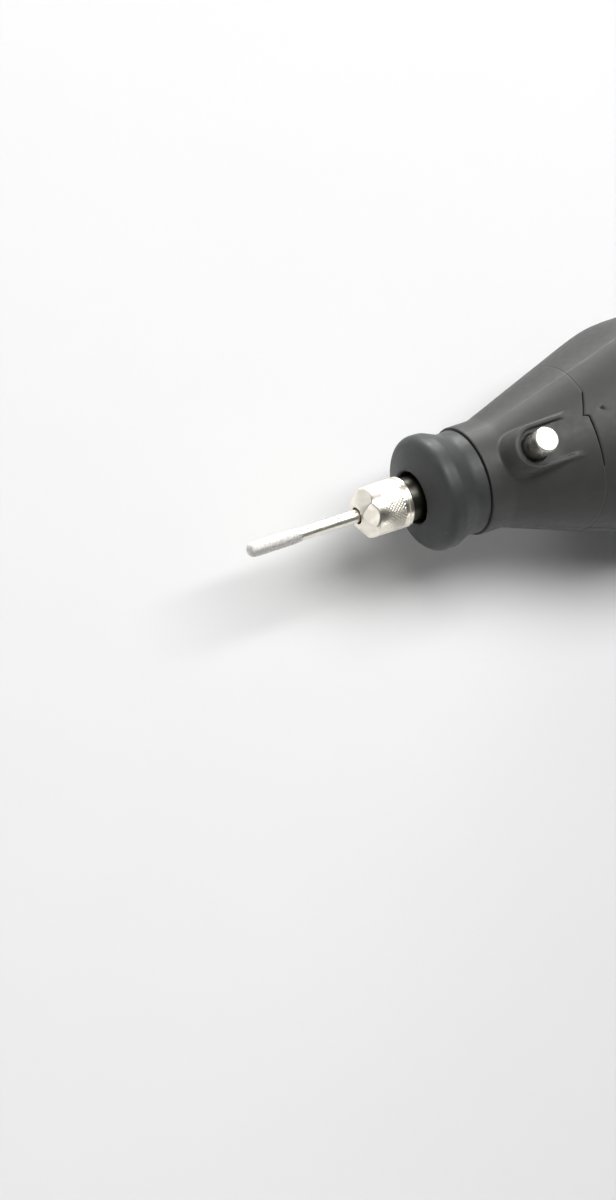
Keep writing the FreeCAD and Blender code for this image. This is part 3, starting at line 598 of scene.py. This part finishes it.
def make_materials():
    """One finish for each of the record's material slots."""
    return {
        "diamond_grit": diamond_grit("diamond_grit"),
        "burr_steel": turned_metal("burr_steel", (0.88, 0.85, 0.76), 0.36, 0.02),
        "nickel_plate": turned_metal("nickel_plate", (0.93, 0.88, 0.78), 0.31, 0.12),
        # painted shade: a darker copy of the nickel plating for the lock pin, so that its sides look
        # shaded while its top stays bright
        "nickel_plate_painted_shade": turned_metal("nickel_plate_painted_shade", (0.62, 0.60, 0.54), 0.3, 0.12),
        # painted shade: steel coloured far darker than bare steel, so that the spindle's collar in the
        # nose cap's mouth looks shaded
        "steel": turned_metal("steel", (0.085, 0.083, 0.068), 0.33),
        "spring_steel": turned_metal("spring_steel", (0.45, 0.45, 0.46), 0.32),
        "zinc_screw": turned_metal("zinc_screw", (0.55, 0.56, 0.58), 0.35, 0.35),
        "brass": turned_metal("brass", (0.75, 0.55, 0.24), 0.28),
        "black_cap_plastic": moulded_plastic("black_cap_plastic", (0.042, 0.044, 0.044), 0.46, 0.006),
        "housing_plastic": moulded_plastic("housing_plastic", (0.044, 0.0445, 0.0425), 0.5),
        "black_plastic": moulded_plastic("black_plastic", (0.022, 0.022, 0.023), 0.42, 0.008),
        "white_plastic": moulded_plastic("white_plastic", (0.70, 0.69, 0.65), 0.45, 0.006),
        "component_black": moulded_plastic("component_black", (0.03, 0.03, 0.04), 0.35, 0.004),
        "magnet": moulded_plastic("magnet", (0.10, 0.10, 0.11), 0.5),
        "carbon": moulded_plastic("carbon", (0.035, 0.035, 0.037), 0.6),
        "rubber": soft_rubber("rubber", (0.020, 0.020, 0.021)),
        "copper": copper_winding("copper"),
        "laminations": laminated_steel("laminations"),
        "board_green": circuit_board("board_green"),
    }


MATERIALS = make_materials()


def dress_cad_nodes():
    """Gives every CAD node the finish of its slot."""
    for name, piece in NODES.items():
        piece.data.materials.clear()
        piece.data.materials.append(MATERIALS[SLOTS[name]])


# ------------------------------------------------------------------ burr, nut, cap, lock pin

GRIT_SPREAD = 0.022
GRIT_LIMITS = (-0.045, 0.05)


def make_burr():
    """Slim round-ended head with grit on it, on a plain ground shank."""
    rng = np.random.default_rng(11)
    head_radius = half_width("burr_head") - GRIT_LIMITS[1]

    def grit(along, r, turn):
        grain = rng.normal(0.0, GRIT_SPREAD, r.shape)
        return r + np.clip(grain, *GRIT_LIMITS) * np.minimum(1.0, r / 0.4)

    lathe("burr_head_plated", [
        (BURR_TIP + 0.05, 0, 0), (BURR_TIP + 0.05, head_radius, head_radius - 0.03),
        (BURR_NECK - 1.5, head_radius, 1.0), (BURR_NECK + 0.05, SHANK_RADIUS + 0.02, 0),
        (BURR_NECK + 0.05, 0, 0),
    ], MATERIALS["diamond_grit"], "burr", ["burr_head"], 96, 0.085, False, grit, sharp=80.0)
    lathe("burr_shank_turned", [
        (BURR_NECK - 1.0, 0, 0), (BURR_NECK - 1.0, 0.9, 0), (BURR_NECK + 0.02, 0.9, 0),
        (BURR_NECK + 0.02, SHANK_RADIUS, 0.08), (SHANK_END, SHANK_RADIUS, 0.3), (SHANK_END, 0, 0),
    ], MATERIALS["burr_steel"], "burr", ["burr_shank"], 96, 1.0, False)


NUT_RIM = 2.35
NUT_BORE = 1.5
NUT_THREAD = 3.75                   # radius of its threaded inside
GROOVE_RADIUS = NUT_RADIUS - 0.25
FLAT_SLOPE = 1.0                    # six flats taper the front of the nut
FLAT_REAR = -19.0
FLAT_ANGLE = math.radians(19.5)     # from +z towards -y
KNURL_FRONT = -19.3
KNURL_REAR = -14.5
KNURL_TEETH = 40
KNURL_DEPTH = 0.11


def make_nut():
    """Collet nut: six tapering flats in front, fine diamond knurl behind, a groove near the rear."""
    def tune(along, r, turn):
        outer = r > NUT_THREAD + 0.01
        side = (turn + FLAT_ANGLE + math.pi / 6) % (math.pi / 3) - math.pi / 6
        flat = (NUT_RIM + FLAT_SLOPE * (along - NUT_FRONT)) / np.cos(side)
        front = (along < FLAT_REAR) & (r > 1.9)
        r = np.where(front, -smooth_max(-r, -flat, 0.12), r)
        lean = (along - KNURL_FRONT) / NUT_RADIUS
        one = np.abs(np.sin((turn + lean) * KNURL_TEETH / 2))
        two = np.abs(np.sin((turn - lean) * KNURL_TEETH / 2))
        ends = np.clip((along - KNURL_FRONT) / 2.6, 0, 1) * np.clip((KNURL_REAR - along) / 0.15, 0, 1)
        knurl = KNURL_DEPTH * (1 - np.minimum(one, two)) ** 2 * ends
        return np.where(outer, r - knurl, r)

    lathe("collet_nut_knurled", [
        (NUT_FRONT, NUT_BORE, 0.15), (NUT_FRONT, NUT_RIM, 0.12), (-20.75, 4.35, 0.3),
        (-19.9, NUT_RADIUS, 0.4), (-14.35, NUT_RADIUS, 0.08), (-14.2, GROOVE_RADIUS, 0.05),
        (-13.8, GROOVE_RADIUS, 0.05), (-13.65, NUT_RADIUS, 0.08), (NUT_REAR, NUT_RADIUS, 0.25),
        (NUT_REAR, NUT_THREAD, 0.1), (-17.3, NUT_THREAD, 0), (-17.3, 2.85, 0), (-18.2, 2.85, 0),
        (-20.9, 1.75, 0), (-20.9, NUT_BORE, 0),
    ], MATERIALS["nickel_plate"], "collet_nut", ["collet_nut"], 528, 0.07, True, tune, sharp=30.0)


CAP_MOUTH = 4.75
CAP_INSIDE = 8.2
CAP_FACE_REAR = -8.4


def make_nose_cap():
    """Waisted cap with a rolled front edge and a plain round mouth."""
    lathe("nose_cap_moulded", [
        (CAP_FRONT, CAP_MOUTH, 0.45), (-8.75, CAP_RADIUS + 0.08, 2.0), (-5.9, CAP_RADIUS + 0.03, 2.0),
        (-2.7, 9.25, 3.0), (CAP_REAR, 9.45, 0.2), (CAP_REAR, CAP_INSIDE, 0.1),
        (CAP_FACE_REAR, CAP_INSIDE, 0.6), (CAP_FACE_REAR, CAP_MOUTH, 0.4),
    ], MATERIALS["black_cap_plastic"], "nose_cap", ["nose_cap"], 256, 0.3)


COIL_RADIUS = 2.1
WIRE_RADIUS = 0.2
WIRE_SIDES = 12
COIL_STEPS = 192                    # over its four turns
SEAT_TOP = top_of("lock_spring_seat")
FLANGE_BOTTOM = 9.9
FLANGE_TOP = 10.65
FLANGE_RADIUS = 2.85
STEM_RADIUS = 1.1
LOCK_PIN_RADIUS = 2.3


def make_lock_pin():
    """Plunger with a flange that keeps it in and a stem that enters the spindle's collar."""
    # its finish is the darker copy of the nickel plating, painted shade for the pin's sides
    lathe("lock_pin_turned", [
        (LOCK_END, 0, 0), (LOCK_END, STEM_RADIUS, 0.25), (FLANGE_BOTTOM, STEM_RADIUS, 0),
        (FLANGE_BOTTOM, FLANGE_RADIUS, 0.1), (FLANGE_TOP, FLANGE_RADIUS, 0.1),
        (FLANGE_TOP, LOCK_PIN_RADIUS, 0), (LOCK_TOP, LOCK_PIN_RADIUS, 0.3), (LOCK_TOP, 0, 0),
    ], MATERIALS["nickel_plate_painted_shade"], "lock_pin", ["lock_pin"], 128, 0.4, False, axis="z",
        at=(LOCK_X, 0.0, 0.0))


def make_lock_spring():
    """Coil under the lock pin's flange, its end turns closed."""
    length = FLANGE_BOTTOM - SEAT_TOP - 0.02
    rise = length - 2 * WIRE_RADIUS
    end_rise = 2 * WIRE_RADIUS + 0.02
    turns = np.linspace(0, 4, COIL_STEPS + 1)[:, None]
    height = np.interp(turns, [0, 1, 3, 4], [0, end_rise, rise - end_rise, rise])
    around = np.arange(WIRE_SIDES)[None, :] * 2 * math.pi / WIRE_SIDES
    angle = 2 * math.pi * turns
    radius = COIL_RADIUS + WIRE_RADIUS * np.cos(around)
    grid = np.stack([
        LOCK_X + radius * np.cos(angle), radius * np.sin(angle),
        SEAT_TOP + WIRE_RADIUS + height + WIRE_RADIUS * np.sin(around),
    ], -1)
    index = np.arange(grid[..., 0].size).reshape(grid.shape[:2])
    beside = np.roll(index, -1, 1)
    sides = np.stack([index[:-1], index[1:], beside[1:], beside[:-1]], -1).reshape(-1, 4)
    faces = sides.tolist() + [index[0].tolist(), index[-1].tolist()]
    spring = make_piece("lock_pin_spring_coil", grid.reshape(-1, 3), faces, MATERIALS["spring_steel"],
                        "housing", ["lock_pin_spring"])
    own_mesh(spring)


# ------------------------------------------------------------------ housing

SEAM_RADIUS = float(skin_radius(np.array(SEAM_X)))


def seam_at(angle):
    """Where the stepped seam runs, round the housing."""
    y = SEAM_RADIUS * np.sin(angle)
    climb = np.clip((y - SEAM_STEP_Y) / (SEAM_SLANT_Y - SEAM_STEP_Y), 0, 1)
    step = np.clip((y - SEAM_STEP_Y + 0.12) / 0.24, 0, 1)
    return SEAM_X + step * (2 * SEAM_STEP * climb - SEAM_STEP)


def seam_opening(angle):
    """1 across the top, where the shut line shows, falling to 0 round the rest."""
    first, last = SEAM_SHOWS
    fade = math.radians(3)
    return np.clip((angle - first) / fade + 1, 0, 1) * np.clip((last - angle) / fade + 1, 0, 1)


def cut_at_seam(body, p, side):
    """Trims a field at the seam: side is 1 for what lies ahead of it, -1 for what lies behind."""
    angle = np.arctan2(p[..., 1], p[..., 2])
    opening = seam_opening(angle)
    gap = SEAM_TIGHT + (SEAM_GAP - SEAM_TIGHT) * opening
    return smooth_max(body, side * (p[..., 0] - seam_at(angle)) + gap, 0.05 + 0.17 * opening)


def round_front(x, y, centre, half):
    """Upright prism along +x with a round front about centre."""
    return np.where(x > centre, np.abs(y) - half, np.hypot(x - centre, y) - half)


def guard_pad(p):
    """Raised pad round the lock pin: a leaning front, a flat floor and a rim open to the rear."""
    x, y, z = p[..., 0], p[..., 1], p[..., 2]
    leant = x + PAD_LEAN * (PAD_TOP - z)
    outer = round_front(leant, y, PAD_FRONT + PAD_HALF_WIDTH, PAD_HALF_WIDTH)
    inner = round_front(x, y, RIM_INNER_X, RIM_INNER_RADIUS)
    floor = smooth_max(outer, z - PAD_FLOOR, 0.3)
    rim = smooth_max(smooth_max(outer, z - PAD_TOP, 0.35), -inner, 0.3)
    return np.where(z > 0, smooth_min(floor, rim, 0.2), 50.0)


def front_housing_field(p):
    """Neck, cone and pad, hollow, with the lock pin's hole."""
    x, z = p[..., 0], p[..., 2]
    body = smooth_min(skin_distance(p), guard_pad(p), 0.45)
    hole = np.maximum(post_distance(p, LOCK_HOLE_RADIUS, LOCK_X), LOCK_GUIDE_TOP - z)
    guide = np.maximum(post_distance(p, LOCK_GUIDE_RADIUS, LOCK_X), -z)
    body = smooth_max(smooth_max(body, -hole, 0.15), -guide, 0.1)
    bore = np.maximum(post_distance(p, LOCK_BORE_RADIUS, LOCK_X), z - LOCK_BORE_TOP)
    body = smooth_max(body, -np.maximum(bore, -z), 0.1)
    body = smooth_max(body, -skin_distance(p, WALL), 0.3)
    body = smooth_max(body, -x, 0.3)
    return cut_at_seam(body, p, 1)


def ring(first, last, step=1.0):
    """Angles in radians from first to last in degrees, closer together at the creases."""
    even = np.linspace(first, last, int(round((last - first) / step)) + 1)
    creases = np.arange(-315, 316, 90)[:, None] + np.arange(-2.1, 2.2, 0.42)[None, :]
    close = creases[(creases > first) & (creases < last)]
    apart = np.abs(even[:, None] - close[None, :]).min(1) > 0.15
    return np.radians(np.sort(np.concatenate([even[apart], close])))


def make_front_housing():
    """Round neck and cone up to the stepped seam."""
    angle = ring(-180, 180)[:-1]
    share = np.linspace(0, 1, 104)[:, None]
    x = -0.3 + share * (seam_at(angle)[None, :] + 0.6)
    depth = np.arange(-2.6, 4.95, 0.22)
    moulded("front_housing_moulded", x, angle, depth, front_housing_field,
            MATERIALS["housing_plastic"], "housing", ["front_housing"], True)


SCREW_PLACES = [(29.5, 10.6), (118.0, 12.4)]
SCREW_HOLE = 2.9
BRUSH_HOLE = 4.36
VENT_COUNT = 4
VENT_FRONT = 34.0                   # of the uppermost vent
VENT_STAGGER = 1.4                  # how far each vent starts behind the one above it
VENT_LEAN = 26.0                    # degrees below the middle plane
VENT_PITCH = 9.5
VENT_LENGTH = 9.0
VENT_ROUND = 0.8
SLOT_HALF_WIDTH = 2.1
SWITCH_SLOT_HALF_LENGTH = 5.6
DIAL_SLOT_HALF_LENGTH = 6.2


def shell_wall(p):
    """Wall that both half shells share, with the brush caps' holes."""
    x, z = p[..., 0], p[..., 2]
    wall = smooth_max(skin_distance(p), -skin_distance(p, WALL), 0.3)
    wall = cut_at_seam(wall, p, -1)
    wall = smooth_max(wall, x - SHELL_END + 0.05, 0.22)
    return smooth_max(wall, BRUSH_HOLE - np.hypot(x - BRUSH_X, z), 0.4)


DIMPLE_RADIUS = 0.36
DIMPLE_X, DIMPLE_ANGLE = 22.8, math.radians(9)
DIMPLE_HEIGHT = float(faced_radius(np.array(DIMPLE_X), DIMPLE_ANGLE))
DIMPLE_PLACE = np.array([
    DIMPLE_X, DIMPLE_HEIGHT * math.sin(DIMPLE_ANGLE), DIMPLE_HEIGHT * math.cos(DIMPLE_ANGLE),
])


def upper_shell_field(p):
    """Upper half shell: slots for the switch and the dial, and a blind dimple."""
    shell = smooth_max(shell_wall(p), 0.05 - p[..., 2], 0.22)
    dimple = np.linalg.norm(p - DIMPLE_PLACE, axis=-1) - DIMPLE_RADIUS
    shell = smooth_max(shell, -dimple, 0.05)
    slots = (
        (SWITCH_FRONT + 7.5, SWITCH_SLOT_HALF_LENGTH, 0.6), (DIAL_X, DIAL_SLOT_HALF_LENGTH, 0.8),
    )
    for middle, half, corner in slots:
        low = (middle - half, -SLOT_HALF_WIDTH, 5.0)
        high = (middle + half, SLOT_HALF_WIDTH, 40.0)
        shell = smooth_max(shell, corner - box_distance(p, low, high), 0.5)
    return shell


def lower_shell_field(p):
    """Lower half shell: side vents, screw holes and the bed of the rubber foot."""
    x, y, z = p[..., 0], np.abs(p[..., 1]), p[..., 2]
    shell = smooth_max(shell_wall(p), z + 0.05, 0.22)
    for i in range(VENT_COUNT):
        lean = math.radians(VENT_LEAN + VENT_PITCH * i)
        turned = np.stack([
            x, y * math.cos(lean) - z * math.sin(lean), y * math.sin(lean) + z * math.cos(lean),
        ], -1)
        first = VENT_FRONT + VENT_STAGGER * i
        low = (first + VENT_ROUND, 8.0, -0.1)
        high = (first + VENT_LENGTH - VENT_ROUND, 24.0, 0.1)
        shell = smooth_max(shell, VENT_ROUND - box_distance(turned, low, high), 0.35)
    for place_x, place_y in SCREW_PLACES:
        hole = np.hypot(x - place_x, y - place_y) - SCREW_HOLE
        shell = smooth_max(shell, -np.maximum(hole, z), 0.3)
    run = np.clip(x, FOOT_FRONT + FOOT_HALF_WIDTH, FOOT_REAR - FOOT_HALF_WIDTH)
    foot = np.maximum(np.hypot(x - run, y) - FOOT_HALF_WIDTH - 0.05, z - FOOT_TOP)
    return smooth_max(shell, -foot, 0.15)


def follow_seam(x, angle):
    """Rows that lie on the seam at the front and run straight further back."""
    fade = np.clip((27.0 - x) / (27.0 - SEAM_X), 0, 1)[:, None]
    return x[:, None] + fade * (seam_at(angle)[None, :] - SEAM_X)


def make_shells():
    """The two half shells, with closer rows where there are holes."""
    depth = np.arange(-2.8, 0.6, 0.28)
    angle = ring(-91, 91)
    rows = stations((19.9, 24, 0.2), (24, 88, 1.2), (88, 100, 0.35), (100, 106, 1.0),
                    (106, 137, 0.35), (137, 141.35, 0.45))
    moulded("upper_shell_moulded", follow_seam(rows, angle), angle, depth, upper_shell_field,
            MATERIALS["housing_plastic"], "housing", ["upper_shell"])
    rows = stations((19.9, 49, 0.35), (49, 88, 1.2), (88, 100, 0.35), (100, 114, 1.2),
                    (114, 122, 0.35), (122, 141.35, 0.8))
    angle = angle + math.pi
    moulded("lower_shell_moulded", follow_seam(rows, angle), angle, depth, lower_shell_field,
            MATERIALS["housing_plastic"], "housing", ["lower_shell"])


# ------------------------------------------------------------------ rear end and trim

REAR_WALL_FRONT = 148.6             # inside face of the rear cap's end
GLAND_HOLE = 4.92
GLAND_NECK = 4.9
GLAND_BORE = 3.1
CHAMFER_START = 2.5                 # behind the rear cap's seam
REAR_FACE_RADIUS = 12.8
AIR_SLOTS = 12
AIR_SLOT_PLACE = 9.6                # middle of a slot, from the axis
AIR_SLOT_HALF_LENGTH = 1.5          # without its rounded ends
AIR_SLOT_HALF_WIDTH = 0.4
AIR_SLOT_ROUND = 0.5


def make_rear_cap():
    """Domed end with air slots round the gland."""
    edge = float(skin_radius(np.array(SHELL_END)))
    chamfer_run, chamfer_drop = REAR_END - SHELL_END - CHAMFER_START, edge - REAR_FACE_RADIUS
    chamfer = math.hypot(chamfer_run, chamfer_drop)

    def field(p):
        x, y, z = p[..., 0], p[..., 1], p[..., 2]
        angle = np.arctan2(y, z)
        r = np.hypot(y, z)
        evened = r * edge / faced_radius(np.full_like(x, SHELL_END), angle)
        along = x - SHELL_END - CHAMFER_START
        slope = (along * chamfer_drop + (evened - edge) * chamfer_run) / chamfer
        dome = smooth_max(smooth_max(evened - edge, slope, 2.5), x - REAR_END, 2.5)
        hollow = smooth_max(smooth_max(evened - edge, slope, 2.0) + WALL, x - REAR_WALL_FRONT, 2.0)
        cap = smooth_max(smooth_max(dome, -hollow, 0.3), SHELL_END + 0.06 - x, 0.22)
        cap = smooth_max(cap, GLAND_HOLE - r, 0.3)
        share = math.pi / AIR_SLOTS
        around = (angle + share) % (2 * share) - share
        length = np.abs(r * np.cos(around) - AIR_SLOT_PLACE) - AIR_SLOT_HALF_LENGTH
        width = np.abs(r * np.sin(around)) - AIR_SLOT_HALF_WIDTH
        outside = np.hypot(np.maximum(length, 0), np.maximum(width, 0))
        slot = outside + np.minimum(np.maximum(length, width), 0)
        return smooth_max(cap, AIR_SLOT_ROUND - slot, 0.3)

    angle = np.arange(288) * 2 * math.pi / 288
    x = stations((140.8, 151.3, 0.26))
    depth = np.arange(-edge + 4.2, 0.6, 0.3)

    def outline(x, angle):
        return faced_radius(np.full(np.broadcast(x, angle).shape, SHELL_END), angle)

    moulded("rear_cap_moulded", x, angle, depth, field, MATERIALS["housing_plastic"], "housing",
            ["rear_cap"], True, outline)


def make_gland():
    """Rubber bush: a collar against the rear cap and three soft ribs on its tail."""
    lathe("cord_gland_moulded", [
        (GLAND_FRONT, GLAND_BORE, 0.3), (GLAND_FRONT, 6.0, 0.3), (REAR_WALL_FRONT, 6.0, 0.1),
        (REAR_WALL_FRONT, GLAND_NECK, 0), (REAR_END, GLAND_NECK, 0), (REAR_END, 6.2, 0.4),
        (REAR_END + 1.4, 6.2, 0.4), (REAR_END + 1.6, 5.3, 0.3), (REAR_END + 2.6, 5.2, 0.2),
        (REAR_END + 2.9, 4.8, 0.1), (REAR_END + 3.4, 4.8, 0.1), (REAR_END + 3.7, 5.1, 0.2),
        (REAR_END + 4.4, 5.0, 0.2), (REAR_END + 4.7, 4.6, 0.1), (REAR_END + 5.1, 4.6, 0.1),
        (REAR_END + 5.4, 4.9, 0.2), (GLAND_REAR, 4.7, 0.3), (GLAND_REAR, GLAND_BORE, 0.3),
    ], MATERIALS["rubber"], "housing", ["cord_gland"], 128, 0.4)


RIB_PITCH = 3.0
RIB_DEPTH = 0.5


def make_belly_pad():
    """Rubber foot with ribs across its underside."""
    bottom = -AXIS_HEIGHT

    def field(p):
        x, y, z = p[..., 0], p[..., 1], p[..., 2]
        run = np.clip(x, FOOT_FRONT + FOOT_HALF_WIDTH, FOOT_REAR - FOOT_HALF_WIDTH)
        side = np.hypot(x - run, y) - FOOT_HALF_WIDTH + 0.02
        rib = RIB_DEPTH * (0.5 - 0.5 * np.cos(2 * math.pi * (x - FOOT_FRONT) / RIB_PITCH)) ** 3
        inner = np.clip((-1.2 - side) / 0.6, 0, 1)
        under = bottom + 0.02 + rib * inner - z
        return smooth_max(smooth_max(side, under, 0.6), z - FOOT_TOP, 0.1)

    low = (FOOT_FRONT - 0.5, -FOOT_HALF_WIDTH - 0.5, bottom - 0.4)
    high = (FOOT_REAR + 0.5, FOOT_HALF_WIDTH + 0.5, FOOT_TOP + 0.4)
    carved("belly_pad_ribbed", low, high, (0.4, 0.4, 0.2), field,
           MATERIALS["rubber"], "housing", ["belly_pad"])


BUTTON_HALF_LENGTH = 3.4            # without its rounded edges
BUTTON_HALF_WIDTH = 1.9
BUTTON_ROUND = 0.58
BUTTON_DIP = 0.35
GRIP_HEIGHT = 0.28
GRIP_PITCH = 1.3
PLATE_HALF_WIDTH = 4.4


def make_switch_button():
    """Ridged thumb slider on its hidden plate."""
    top = top_of("switch_button")
    middle = SWITCH_FRONT + 5.5

    def field(p):
        x, y, z = p[..., 0], p[..., 1], p[..., 2]
        dip = BUTTON_DIP * np.exp(-((x - middle) / 2.2) ** 2)
        ridge = GRIP_HEIGHT * np.abs(np.sin(math.pi * (x - middle) / GRIP_PITCH)) ** 0.7
        sides = np.clip((BUTTON_HALF_WIDTH - np.abs(y)) / 0.5, 0, 1)
        ends = np.clip((3.3 - np.abs(x - middle)) / 0.4, 0, 1)
        low = (middle - BUTTON_HALF_LENGTH, -BUTTON_HALF_WIDTH, 13.0)
        high = (middle + BUTTON_HALF_LENGTH, BUTTON_HALF_WIDTH, top - 0.6)
        button = box_distance(p, low, high) - BUTTON_ROUND
        button = smooth_max(button, z - top + dip + ridge * (sides * ends), 0.25)
        low = (SWITCH_FRONT + 0.2, -PLATE_HALF_WIDTH, 14.5)
        high = (SWITCH_REAR - 0.2, PLATE_HALF_WIDTH, 15.0)
        plate = box_distance(p, low, high) - 0.18
        return smooth_min(button, plate, 0.3)

    low = (SWITCH_FRONT - 0.4, -5.0, 12.0)
    high = (SWITCH_REAR + 0.4, 5.0, top + 0.3)
    carved("switch_button_ridged", low, high, (0.14, 0.14, 0.14), field,
           MATERIALS["black_plastic"], "switch_button", ["switch_button"])


DIAL_HALF_WIDTH = 2.5
DIAL_BORE = 1.02
DIAL_TEETH = 24


def make_speed_dial():
    """Thumb wheel with rounded grip teeth."""
    def teeth(along, r, turn):
        rim = np.clip((r - DIAL_RADIUS + 1.2) / 0.6, 0, 1)
        return r - rim * 0.42 * np.clip(np.cos(turn * DIAL_TEETH) * 1.6 - 0.4, 0, 1)

    lathe("speed_dial_wheel", [
        (-DIAL_HALF_WIDTH, DIAL_BORE, 0.1), (-DIAL_HALF_WIDTH, DIAL_RADIUS, 0.5),
        (DIAL_HALF_WIDTH, DIAL_RADIUS, 0.5), (DIAL_HALF_WIDTH, DIAL_BORE, 0.1),
    ], MATERIALS["black_plastic"], "speed_dial", ["speed_dial"], 384, 0.3, True, teeth, "y",
        (DIAL_X, 0.0, DIAL_Z))


SLEEVE_RADIUS = 3.9
SLEEVE_BORE = 1.5
SLEEVE_SEAT = -8.55                 # height of the shoulder the screw's head sits on


def make_screw_sleeves():
    """Sleeves that the shell screws' heads sit in."""
    places = [(x, side * y) for x, y in SCREW_PLACES for side in (-1, 1)]
    for number, (x, y) in enumerate(places):
        skin = float(skin_radius(np.array(x)))
        reach = math.sqrt(skin ** 2 - (abs(y) + 2) ** 2) - 1.2
        lathe(f"screw_sleeve_{number}", [
            (-reach, SCREW_HOLE, 0.1), (-reach, SLEEVE_RADIUS, 0.2), (-0.1, SLEEVE_RADIUS, 0.2),
            (-0.1, SLEEVE_BORE, 0), (SLEEVE_SEAT, SLEEVE_BORE, 0), (SLEEVE_SEAT, SCREW_HOLE, 0),
        ], MATERIALS["housing_plastic"], "housing", around=64, axis="z", at=(x, y, 0.0))


# ------------------------------------------------------------------ studio

def area_light(name, place_at, aim, size, power):
    """Rectangular softbox turned towards a point."""
    light = bpy.data.lights.new(name, "AREA")
    light.shape = "RECTANGLE"
    light.size, light.size_y = size
    light.energy = power
    lamp = bpy.data.objects.new(name, light)
    bpy.context.scene.collection.objects.link(lamp)
    lamp.location = place_at
    lamp.rotation_euler = (Vector(aim) - Vector(place_at)).to_track_quat("-Z", "Y").to_euler()


def make_floor():
    """Pale paper with a painted glow that grows far from the tool, so that its horizon stays pale."""
    mesh = bpy.data.meshes.new("studio_floor")
    reach = 3.0
    corners = [(-reach, -reach, 0), (reach, -reach, 0), (reach, reach, 0), (-reach, reach, 0)]
    mesh.from_pydata(corners, [], [(0, 1, 2, 3)])
    mat = blank("studio_paper", (0.78, 0.78, 0.78), 0.8, Emission_Color=(1.0, 1.0, 1.0, 1.0))
    drive(mat, "Roughness", noise(mat, 0.05, 3.0), 0.7, 0.8)
    nodes, links = mat.node_tree.nodes, mat.node_tree.links
    distance = nodes.new("ShaderNodeVectorMath")
    distance.operation = "LENGTH"
    links.new(nodes.new("ShaderNodeTexCoord").outputs["Object"], distance.inputs[0])
    # painted glow: the paper's emission rises from none near the tool to 0.6 far away
    drive(mat, "Emission Strength", distance.outputs["Value"], 0.0, 0.6, 0.4, 1.3)
    mesh.materials.append(mat)
    floor = bpy.data.objects.new("studio_floor", mesh)
    bpy.context.scene.collection.objects.link(floor)


def make_world():
    """Dim room with a bright band round the horizon."""
    world = bpy.data.worlds.new("studio")
    world.use_nodes = True
    nodes, links = world.node_tree.nodes, world.node_tree.links
    background = nodes["Background"]
    background.inputs["Color"].default_value = (1.0, 1.0, 1.0, 1.0)
    direction = nodes.new("ShaderNodeSeparateXYZ")
    links.new(nodes.new("ShaderNodeTexCoord").outputs["Generated"], direction.inputs["Vector"])
    fade = nodes.new("ShaderNodeMapRange")
    fade.inputs["From Min"].default_value = 0.08
    fade.inputs["From Max"].default_value = 0.25
    fade.inputs["To Min"].default_value = 0.8
    fade.inputs["To Max"].default_value = 0.07
    links.new(direction.outputs["Z"], fade.inputs["Value"])
    links.new(fade.outputs["Result"], background.inputs["Strength"])
    return world


def make_studio():
    """Soft light from beside and above, and two small cards for the bright edges."""
    scene = bpy.context.scene
    scene.world = make_world()
    scene.view_settings.view_transform = "Standard"
    middle = (-0.07, 0.0, 0.02)
    area_light("key_softbox", (0.2, 1.0, 0.1), middle, (0.7, 0.3), 12.0)
    area_light("top_softbox", (0.1, 0.26, 0.95), (0.1, 0.0, 0.0), (1.0, 0.5), 12.0)
    area_light("front_card", (-0.9, -0.36, 0.4), middle, (0.3, 0.3), 0.55)
    area_light("side_card", (0.32, -0.9, 0.13), middle, (0.3, 0.16), 0.25)


CAMERA_PLACE = (-0.3766, -0.0749, 0.5538)
CAMERA_FORWARD = (0.43805, 0.10654, -0.89262)
CAMERA_UP = (0.28679, 0.92450, 0.25109)


def make_camera():
    """Looks steeply down on the tool's nose, turned so that the burr points to the lower left."""
    scene = bpy.context.scene
    data = bpy.data.cameras.new("view")
    data.lens = 104.4
    data.sensor_width = 36.0
    camera = bpy.data.objects.new("view", data)
    scene.collection.objects.link(camera)
    view_dir = Vector(CAMERA_FORWARD).normalized()
    up = Vector(CAMERA_UP)
    right = view_dir.cross(up).normalized()
    up = right.cross(view_dir)
    turn = Matrix((right, up, -view_dir)).transposed().to_4x4()
    camera.matrix_world = Matrix.Translation(Vector(CAMERA_PLACE)) @ turn
    scene.camera = camera


make_floor()
make_studio()
make_camera()
dress_cad_nodes()
make_burr()
make_nut()
make_nose_cap()
make_lock_pin()
make_lock_spring()
make_front_housing()
make_shells()
make_rear_cap()
make_gland()
make_belly_pad()
make_switch_button()
make_speed_dial()
make_screw_sleeves()
